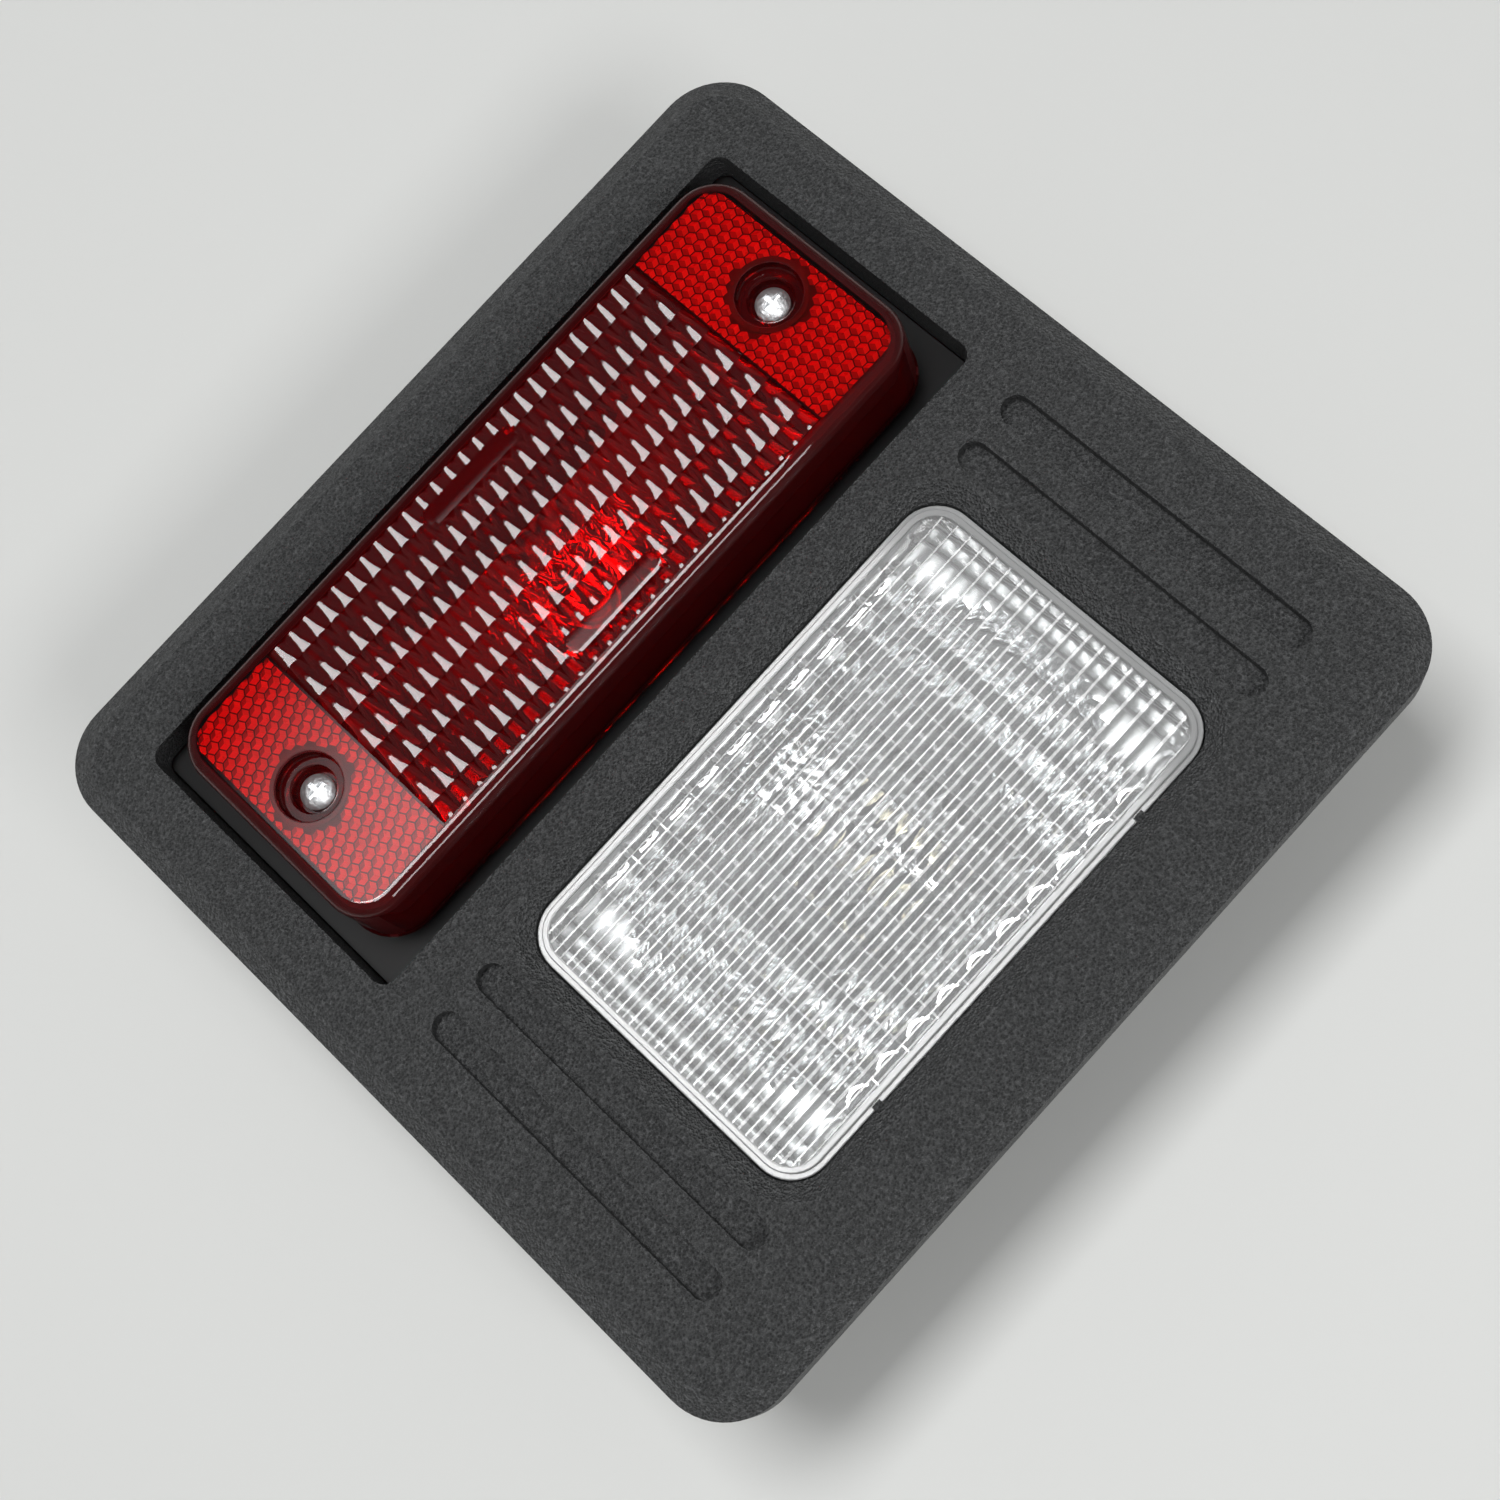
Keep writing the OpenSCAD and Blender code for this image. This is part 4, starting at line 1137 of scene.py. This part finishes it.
    def prisms(self) -> bpy.types.Object:
        """Builds the reflex prisms: pyramids in hexagons under the lens's face, on a plate dark with painted
        shade.

        Returns:
            The prisms of both zones as one piece.
        """
        shape = Shape()
        corner = (self.pitch - self.gap) / math.sqrt(3)
        fall = corner * 0.5 * math.tan(math.radians(self.facet_tilt))
        level = self.top - self.prism_top
        step_x = self.pitch * math.sqrt(3) / 2
        start, stop, half = self.zone
        for i in range(int((stop - start) / step_x) + 2):
            for j in range(int(2 * half / self.pitch) + 2):
                x = start + (i + self.first) * step_x
                y = -half + (j + (0.5 if i % 2 else 0)) * self.pitch
                if math.hypot(x - self.screw_x, y) < self.well[0] / 2 + self.ring + self.well_room:
                    continue
                made = bmesh.ops.create_circle(shape.bm, cap_ends=True, cap_tris=True, segments=6,
                                               radius=corner)
                for k, vert in enumerate(made["verts"]):
                    flat = vert.co.length < corner / 2
                    turned = Matrix.Rotation(math.radians(30), 3, "Z") @ vert.co
                    drop = 0.0 if flat else (fall if k % 2 else 2 * fall)
                    vert.co = Vector((x + turned.x, self.y + y + turned.y, level - drop))
        self.trim(shape)
        plate = level - 2 * fall - self.plate_gap
        middle = (start + stop) / 2
        outer = shape.loop(Outline(stop - start, 2 * half, self.zone_corner, middle, self.y), plate)
        round_ring = self.well[0] + 2 * self.ring
        hole = shape.loop(Outline.circle(round_ring, self.screw_x, self.y), plate)
        shape.fill(outer, hole)
        collar = [Outline.circle(size, self.screw_x, self.y, self.collar_steps)
                  for size in (self.well[0] + self.collar[0], round_ring + self.collar[1])]
        shape.stack([(outline, level + self.collar_rise) for outline in collar])
        looks = [self.prism, self.painted_shade_backing, self.shade, self.painted_highlight]
        # The plate and the collars are dark with painted shade
        shape.mark(looks.index(self.painted_shade_backing),
                   lambda place: abs(place.z - plate) < NEAR or place.z > level + NEAR)
        geom = shape.bm.verts[:] + shape.bm.edges[:] + shape.bm.faces[:]
        bmesh.ops.mirror(shape.bm, geom=geom, axis="X", merge_dist=0)
        for face in shape.bm.faces:
            face.normal_update()
            # The mirrored half has its normals turned over, so each is taken as if it pointed up
            lean = (face.normal.y - face.normal.x) * math.copysign(math.sqrt(0.5), face.normal.z)
            # Faces that lean toward -x and +y take the painted shade, the others the painted highlight
            if face.material_index == 0 and abs(lean) > self.lean:
                face.material_index = looks.index(self.shade if lean > 0 else self.painted_highlight)
        return shape.piece("reflex_prisms", looks, Slot.RED)

    def trim(self, shape: Shape) -> None:
        """Cuts the prisms off at the zone's sides and round outer corners.

        Args:
            shape: The prisms, which are cut.
        """
        start, stop, half = self.zone
        round_x, round_y = stop - self.zone_corner, half - self.zone_corner
        planes = [((start, 0), 180), ((stop, 0), 0), ((0, half), 90), ((0, -half), -90)]
        for turn in self.corner_cuts:
            for side in (-1, 1):
                angle, reach = math.radians(side * turn), self.zone_corner
                place = (round_x + reach * math.cos(angle), side * round_y + reach * math.sin(angle))
                planes.append((place, side * turn))
        for (x, y), turn in planes:
            normal = (math.cos(math.radians(turn)), math.sin(math.radians(turn)), 0)
            geom = shape.bm.verts[:] + shape.bm.edges[:] + shape.bm.faces[:]
            bmesh.ops.bisect_plane(shape.bm, geom=geom, dist=CUT, plane_co=(x, y + self.y, 0),
                                   plane_no=normal, clear_outer=True)


@dataclass
class WorkLens:
    """The clear lens: stepped rim, fine flutes in front and wide flutes behind.

    Args:
        clear: Finish of the flutes.
        rim_finish: Finish of the rim and of the lines between the wide flutes.
        y: Middle of the lens along y.
        top: Height of its face.
        bottom: Height of its foot.
        outline: Its outline.
        step: Width and height of the step round it.
        rim: Width of the rim.
        soft: Rounding of the rim's edges.
        lip: Places of the rim's inner edge and its depth.
        flutes: Widths of the wide flutes.
        cuts: Faces across a wide flute and across a narrow one at the side.
        depth: Depth of a wide flute.
        fine_rows: Count of the fine flutes.
        fine_cuts: Faces across one of them.
        fine_depth: Depth of a fine flute.
        pane_low: Height of the wide flutes' crests.
        full_width: Width from which a flute has its full depth.
        end_slope: Slope of the cut at both ends of the wide flutes.
        end_lines: Distances of the grid lines from those ends.
        root: Half of the width of the lines between them.
        margins: Distances of the first long grid lines from the field's sides.
    """

    clear: Material
    rim_finish: Material
    y: float = WORK_Y
    top: float = 59.6
    bottom: float = 54.0
    outline: Outline = Outline(134.6, 83.2, 9.8, 0, WORK_Y)
    step: Range = (1.3, 1.2)
    rim: float = 2.8
    soft: float = 0.3
    lip: Sizes = (0.25, 0.1, 0.12)
    flutes: Sizes = (3.4, 4.46) + (9.44,) * 12 + (4.46, 3.4)
    cuts: tuple[int, int] = (10, 6)
    depth: float = 1.7
    fine_rows: int = 20
    fine_cuts: int = 8
    fine_depth: float = 0.6
    pane_low: float = 55.5
    full_width: float = 6.0
    end_slope: float = 0.45
    end_lines: Sizes = (0.4, 0.8, 1.2, 1.6, 2.0, 2.4, 2.8, 3.2, 3.7)
    root: float = 0.24
    margins: Range = (4.0, 5.0)

    def build(self) -> bpy.types.Object:
        """Builds the lens as one closed moulding.

        Returns:
            The lens.
        """
        shape = Shape()
        inner = self.outline.grown(-self.rim)
        front = self.front(shape, inner)
        back = self.back(shape, inner)
        step, drop = self.step
        rings = [(self.outline.grown(-self.soft), self.bottom), (self.outline, self.bottom + self.soft)]
        rings += self.soft_edge(self.outline, self.top - drop)
        rings += [(self.outline.grown(-step), self.top - drop)]
        rings += self.soft_edge(self.outline.grown(-step), self.top)
        outer, edge, depth = self.lip
        rings += [(inner.grown(outer), self.top), (inner.grown(edge), self.top - depth)]
        low, high = shape.stack(rings)
        shape.fill(high, shape.skirt(front, self.top - depth))
        shape.fill(low, shape.skirt(back, self.bottom))
        looks = [self.clear, self.rim_finish]
        shape.mark(looks.index(self.rim_finish),
                   lambda place: self.on_rim(place.x, place.y, inner) or self.at_root(place))
        return shape.piece("clear_lens", looks, Slot.CLEAR, ["work_lens"], sharp=14.0)

    def on_rim(self, x: float, y: float, inner: Outline) -> bool:
        """Tells whether a place lies outside the fluted field.

        Args:
            x: Place along x.
            y: Place along y.
            inner: The field's outline.

        Returns:
            True if it does.
        """
        dx = abs(x) - (inner.width / 2 - inner.radius)
        dy = abs(y - self.y) - (inner.height / 2 - inner.radius)
        if dx > 0 and dy > 0:
            return math.hypot(dx, dy) > inner.radius - 2 * NEAR
        return max(dx, dy) > inner.radius - 2 * NEAR

    def soft_edge(self, outline: Outline, z: float) -> list[Ring]:
        """Rounds an upper edge.

        Args:
            outline: The outline under the edge.
            z: Height of the face inside it.

        Returns:
            The edge's rings.
        """
        rings = []
        for angle in spread(0, 90, 3):
            inward = self.soft * (1 - math.cos(math.radians(angle)))
            rings.append((outline.grown(-inward), z - self.soft * (1 - math.sin(math.radians(angle)))))
        return rings

    def front(self, shape: Shape, inner: Outline) -> Edges:
        """Adds the fine flutes.

        Args:
            shape: The lens that they are added to.
            inner: The field's outline.

        Returns:
            Their outer edges.
        """
        half = inner.height / 2
        pitch = inner.height / self.fine_rows
        ys = [self.y - half + pitch * i / self.fine_cuts for i in range(1, self.fine_cuts * self.fine_rows)]
        reach = inner.width / 2 - self.margins[0]
        xs = spread(-reach, reach, 3)
        verts = shape.cut_sheet(inner, self.top, xs, ys)
        for vert in verts:
            share = ((vert.co.y - self.y + half) / pitch) % 1.0
            vert.co.z = self.top - self.fine_depth * (2 * share - 1) ** 2
        return shape.rim(verts)

    def back(self, shape: Shape, inner: Outline) -> Edges:
        """Adds the wide flutes, cut by a slope at both ends.

        Args:
            shape: The lens that they are added to.
            inner: The field's outline.

        Returns:
            Their outer edges.
        """
        bounds = self.bounds()
        xs = []
        for low, high in zip(bounds, bounds[1:]):
            wide = high - low > self.full_width
            xs += spread(low + self.root, high - self.root, self.cuts[0] if wide else self.cuts[1])
        half = inner.height / 2
        ys = [self.y + side * (half - line) for side in (-1, 1) for line in self.end_lines]
        reach = half - self.margins[1]
        ys += spread(self.y - reach, self.y + reach, 4)
        verts = shape.cut_sheet(inner, self.pane_low, xs, ys)
        for vert in verts:
            vert.co.z = self.pane_low + self.flute_drop(vert.co.x, vert.co.y, bounds, half)
        return shape.rim(verts)

    def bounds(self) -> list[float]:
        """Works out the lines between the wide flutes.

        Returns:
            Their places along x.
        """
        made = [-sum(self.flutes) / 2]
        for width in self.flutes:
            made.append(made[-1] + width)
        return made

    def at_root(self, place: Vector) -> bool:
        """Tells whether a place lies in the moulded radius between two wide flutes."""
        behind = place.z < self.top - self.fine_depth - 20 * NEAR
        return behind and any(abs(place.x - x) < self.root for x in self.bounds())

    def flute_drop(self, x: float, y: float, bounds: Sequence[float], half: float) -> float:
        """Works out the surface of the wide flutes.

        Args:
            x: Place along x.
            y: Place along y.
            bounds: The lines between the flutes.
            half: Half of the field's height.

        Returns:
            Height above their crests.
        """
        for low, high in zip(bounds, bounds[1:]):
            if low - SAME <= x <= high + SAME:
                width = high - low
                share = (x - (low + high) / 2) / (width / 2)
                sag = self.depth * min(1.0, width / self.full_width)
                flute = sag * share * share
                from_end = half - abs(y - self.y)
                return max(flute, self.depth - from_end * self.end_slope)
        return self.depth


# Dressing of the CAD nodes


@dataclass
class Dressing:
    """Gives every CAD node that stays its finish.

    Args:
        finishes: Finishes by slot.
        special: Finishes of single nodes, which go before those of their slots.
    """

    finishes: dict[Slot, Material]
    special: dict[str, Material] = field(default_factory=dict)

    def dress(self) -> None:
        """Assigns the finishes by the record's slots."""
        slots = {part["node"]: part["material_slot"] for part in frame["record"]["subparts"]}
        for name, node in frame["nodes"].items():
            finish = self.special.get(name) or self.finishes[Slot(slots[name])]
            for entry in node.material_slots:
                entry.material = finish
            LOG.info("%s: %s", name, finish.name)


# Studio


@dataclass(frozen=True)
class SoftLight:
    """A rectangular light that fills a window of directions over the part.

    Args:
        name: Its name.
        x_span: Lowest and highest x of the directions to it.
        y_span: Lowest and highest y of them.
        distance: Its distance in metres.
        radiance: Its brightness, where 1 is a white surface at the plain level.
        target: The place that it faces, in metres.
    """

    name: str
    x_span: Range
    y_span: Range
    distance: float
    radiance: float
    target: Place = (0, 0.01, 0.07)

    def build(self) -> bpy.types.Object:
        """Builds the light.

        Returns:
            The light.
        """
        x = sum(self.x_span) / 2
        low, high = (math.asin(y) for y in self.y_span)
        angle = (low + high) / 2
        y = math.sin(angle)
        away = Vector((x, y, math.sqrt(1 - x * x - y * y))).normalized()
        data = bpy.data.lights.new(self.name, "AREA")
        data.shape = "RECTANGLE"
        data.size = (self.x_span[1] - self.x_span[0]) * self.distance
        data.size_y = (high - low) * self.distance
        data.energy = self.radiance * math.pi * data.size * data.size_y
        light = bpy.data.objects.new(self.name, data)
        bpy.context.scene.collection.objects.link(light)
        right = (Vector((1, 0, 0)) - away * away.x).normalized()
        up = away.cross(right)
        place = Matrix((right, up, away)).transposed().to_4x4()
        place.translation = Vector(self.target) + away * self.distance
        light.matrix_world = place
        return light


@dataclass
class Studio:
    """Pale floor with an upturned edge, soft lights and the camera.

    Args:
        lights: The lights.
        floor_colour: Darkest colour of the floor.
        floor_light: Its lightest colour.
        world: Even light all round.
        shade_at: Direction of a dark patch overhead.
        shade_angles: Angles at which the patch is full and gone, in degrees.
        shade: Its brightness.
        glow_at: Direction of a bright patch overhead.
        glow_angles: Angles at which it is full and gone.
        glow: Its brightness.
        level: Share that scales every light.
        camera_at: Place of the camera in metres.
        camera_axes: Its right, up and back directions.
        lens: Its focal length in millimetres.
        sensor: Width of its sensor in millimetres.
        near_clip: Distance at which it begins to see, in metres.
        floor_steps: Radii of the floor's first rings, in metres.
        floor_sizes: Radius of the flat floor, radius of its turned edge and height of its wall, in metres.
        floor_cuts: Faces round the floor and along its turned edge.
        floor_patch: Size of the patches of the floor's colour in millimetres.
        floor_rough: Roughness of the floor.
    """

    lights: tuple[SoftLight, ...] = (
        SoftLight("key", (-0.28, 0.20), (0.06, 0.33), 1.6, 17.5),
        SoftLight("window", (-0.20, 0.24), (-0.78, -0.60), 1.7, 12.0),
    )
    floor_colour: Colour = (0.64, 0.645, 0.63)
    floor_light: Colour = (0.67, 0.675, 0.66)
    world: Colour = (0.27, 0.273, 0.278)
    shade_at: Range = (0.06, 0.48)
    shade_angles: Range = (13.0, 24.0)
    shade: float = 0.06
    glow_at: Range = (-0.05, 0.25)
    glow_angles: Range = (5.5, 13.0)
    glow: float = 3.2
    level: float = 0.86
    camera_at: Place = (-0.0302031, -0.1510845, 0.5284175)
    camera_axes: tuple[Place, ...] = (
        (0.6760322, -0.7161604, -0.173478),
        (0.7348182, 0.6376344, 0.231224),
        (-0.0549779, -0.2837897, 0.9573092),
    )
    lens: float = 53.77827
    sensor: float = 36.0
    near_clip: float = 0.01
    floor_steps: Sizes = (0.0005, 0.6)
    floor_sizes: Sizes = (2.4, 0.5, 2.2)
    floor_cuts: tuple[int, int] = (64, 8)
    floor_patch: float = 400.0
    floor_rough: float = 0.65

    def build(self) -> None:
        """Builds the stage."""
        self.backdrop()
        for light in self.lights:
            light.build().data.energy *= self.level
        self.light_world()
        self.camera()

    def backdrop(self) -> bpy.types.Object:
        """Builds the floor, turned up into a wall far from the object.

        Returns:
            The backdrop.
        """
        bm = bmesh.new()
        radius, foot, wall = self.floor_sizes
        round_cuts, foot_cuts = self.floor_cuts
        profile = [(reach, 0) for reach in (*self.floor_steps, radius)]
        for turn in spread(0, math.pi / 2, foot_cuts)[1:]:
            profile.append((radius + foot * math.sin(turn), foot * (1 - math.cos(turn))))
        profile.append((radius + foot, wall))
        verts = [bm.verts.new((x, 0, z)) for x, z in profile]
        edges = [bm.edges.new(pair) for pair in zip(verts, verts[1:])]
        bmesh.ops.spin(bm, geom=verts + edges, cent=(0, 0, 0), axis=(0, 0, 1), angle=math.tau,
                       steps=round_cuts, use_merge=True)
        bmesh.ops.holes_fill(bm, edges=[e for e in bm.edges if e.is_boundary], sides=round_cuts)
        # The wall's upper end is open, so the lid that was filled in there comes off
        lid = [f for f in bm.faces if f.calc_center_median().z > wall - NEAR and abs(f.normal.z) > 0.9]
        bmesh.ops.delete(bm, geom=lid, context="FACES")
        bmesh.ops.recalc_face_normals(bm, faces=bm.faces)
        for face in bm.faces:
            face.smooth = True
        mesh = bpy.data.meshes.new("backdrop")
        bm.to_mesh(mesh)
        bm.free()
        nodes = Nodes("pale_paper")
        nodes.set(
            Base_Color=nodes.blend(nodes.noise(self.floor_patch, 1.0), self.floor_colour, self.floor_light),
            Roughness=self.floor_rough,
        )
        mesh.materials.append(nodes.material)
        made = bpy.data.objects.new("backdrop", mesh)
        bpy.context.scene.collection.objects.link(made)
        return made

    def light_world(self) -> None:
        """Sets a dim even light all round, with a dark and a bright patch overhead."""
        world = bpy.data.worlds.new("room")
        world.use_nodes = True
        tree = world.node_tree
        coords = tree.nodes.new("ShaderNodeTexCoord").outputs["Generated"]

        def patch(place: Range, angles: Range, outside: float, inside: float) -> Socket:
            """Adds a value that fades round a direction.

            Args:
                place: The direction's x and y.
                angles: Angles at which the patch is full and gone, in degrees.
                outside: The value outside the patch.
                inside: The value inside it.

            Returns:
                The value.
            """
            x, y = place
            facing = tree.nodes.new("ShaderNodeVectorMath")
            facing.operation = "DOT_PRODUCT"
            facing.inputs[1].default_value = (x, y, math.sqrt(1 - x * x - y * y))
            tree.links.new(coords, facing.inputs[0])
            fade = tree.nodes.new("ShaderNodeMapRange")
            fade.interpolation_type = "SMOOTHERSTEP"
            inner, outer = (math.cos(math.radians(a)) for a in angles)
            ends = {"From Min": outer, "From Max": inner, "To Min": outside, "To Max": inside}
            for name, value in ends.items():
                fade.inputs[name].default_value = value
            tree.links.new(facing.outputs["Value"], fade.inputs["Value"])
            return fade.outputs["Result"]

        total = tree.nodes.new("ShaderNodeMath")
        total.operation = "ADD"
        shade, glow = self.shade / self.world[0], self.glow / self.world[0]
        tree.links.new(patch(self.shade_at, self.shade_angles, 1.0, shade), total.inputs[0])
        tree.links.new(patch(self.glow_at, self.glow_angles, 0.0, glow), total.inputs[1])
        scaled = tree.nodes.new("ShaderNodeMath")
        scaled.operation = "MULTIPLY"
        scaled.inputs[1].default_value = self.level
        tree.links.new(total.outputs[0], scaled.inputs[0])
        background = tree.nodes["Background"]
        background.inputs["Color"].default_value = (*self.world, 1)
        tree.links.new(scaled.outputs[0], background.inputs["Strength"])
        bpy.context.scene.world = world

    def camera(self) -> None:
        """Places the camera of the photograph."""
        data = bpy.data.cameras.new("camera")
        data.lens = self.lens
        data.sensor_width = self.sensor
        data.clip_start = self.near_clip
        camera = bpy.data.objects.new("camera", data)
        bpy.context.scene.collection.objects.link(camera)
        place = Matrix(self.camera_axes).transposed().to_4x4()
        place.translation = Vector(self.camera_at)
        camera.matrix_world = place
        bpy.context.scene.camera = camera


def finishes() -> dict[Slot, Material]:
    """Builds the finishes of the record's slots.

    Returns:
        The materials by slot.
    """
    looks = {
        # The bezel's grain carries painted shade in its valleys
        Slot.BEZEL: GrainedPlastic("charcoal_grain"),
        Slot.HOUSING: PlainPlastic("black_plastic", (0.014, 0.014, 0.015), (0.022, 0.022, 0.023)),
        Slot.SOCKET: PlainPlastic("dark_grey_plastic", (0.035, 0.035, 0.037), (0.05, 0.05, 0.053)),
        Slot.RED: ClearMoulding("red_acrylic", (0.88, 0.02, 0.03), (0.92, 0.03, 0.04), 1.41, milk=0.035,
                                dye=RED_DYE),
        Slot.CLEAR: ClearMoulding("clear_acrylic", (0.95, 0.96, 0.96), (0.99, 0.99, 0.99), 1.49, milk=0.17),
        # This reflector's rings carry a painted shade between their crests
        Slot.MIRROR: MirrorCoat("bright_coat", (0.86, 0.875, 0.88), WORK_Y, ring=5.0, depth=0.06, painted_ring_shade=0.6),
        Slot.BULB: ClearMoulding("bulb_glass", (0.95, 0.96, 0.97), (0.98, 0.98, 0.98), 1.5, 0.0, 0.01),
        Slot.CAP: Metal("cap_brass", (0.56, 0.52, 0.40), (0.68, 0.64, 0.52)),
        Slot.INSERT: Metal("insert_brass", (0.66, 0.48, 0.19), (0.8, 0.63, 0.3)),
        Slot.TERMINAL: Metal("terminal_brass", (0.7, 0.56, 0.28), (0.82, 0.7, 0.42)),
        Slot.WIRE: Metal("nickel_wire", (0.4, 0.38, 0.35), (0.55, 0.53, 0.5)),
        Slot.ZINC: Metal("bright_zinc", (0.88, 0.89, 0.9), (0.96, 0.97, 0.98), (0.36, 0.54), dent=0.25),
        Slot.RUBBER: PlainPlastic("black_rubber", (0.012,) * 3, (0.02,) * 3, (0.6, 0.8)),
        Slot.SILICONE: PlainPlastic("pale_silicone", (0.6, 0.61, 0.61), (0.72, 0.73, 0.73), (0.4, 0.6)),
    }
    return {slot: look.build() for slot, look in looks.items()}


def tail_lens(red: Material) -> TailLens:
    """Chooses the finishes of the red lens.

    Args:
        red: The finish of its body.

    Returns:
        The lens, not yet built.
    """
    return TailLens(
        red=red,
        window=ClearMoulding("reflex_window", (0.97, 0.06, 0.05), (0.99, 0.08, 0.06), 1.18, coat=1.0,
                             dye=RED_DYE).build(),
        # The flange's red is darkened with painted shade
        frosted_painted_shade=ClearMoulding("frosted_red_painted_shade", (0.25, 0.004, 0.006), (0.35, 0.006, 0.008), 1.22, 0.4,
                              dye=RED_DYE).build(),
        prism=PrismRed("prism_red").build(),
        # This dark red is painted shade behind the prisms and on the inner walls
        painted_shade_backing=PlainPlastic("prism_backing_painted_shade", (0.05, 0.001, 0.002), (0.08, 0.002, 0.003)).build(),
        # Darker and lighter copies of the prisms' red paint shade and highlight on their faces
        shade=PrismRed("prism_painted_shade", (0.42, 0.006, 0.005), (0.52, 0.012, 0.008)).build(),
        painted_highlight=PrismRed("prism_painted_highlight", (1.0, 0.2, 0.12), (1.0, 0.32, 0.18)).build(),
    )


def main() -> None:
    """Builds the pieces, dresses the CAD nodes and sets the stage."""
    logging.basicConfig(level=logging.INFO, format="%(name)s %(message)s")
    bpy.context.scene.view_settings.view_transform = "Standard"
    looks = finishes()
    tail_mirror = MirrorCoat("tail_coat", (0.62, 0.62, 0.63), TAIL_Y, ring=1.7, depth=0.12, lump=3.5,
                             lump_depth=0.3, rough=(0.07, 0.14)).build()
    moulded_rim = ClearMoulding("moulded_rim", (0.66, 0.67, 0.67), (0.76,) * 3, 1.45, 0.1, milk=0.4).build()
    tail_lens(looks[Slot.RED]).build()
    WorkLens(looks[Slot.CLEAR], moulded_rim).build()
    Dressing(looks, {"tail_reflector": tail_mirror}).dress()
    Studio().build()


if __name__ == "__main__":
    main()
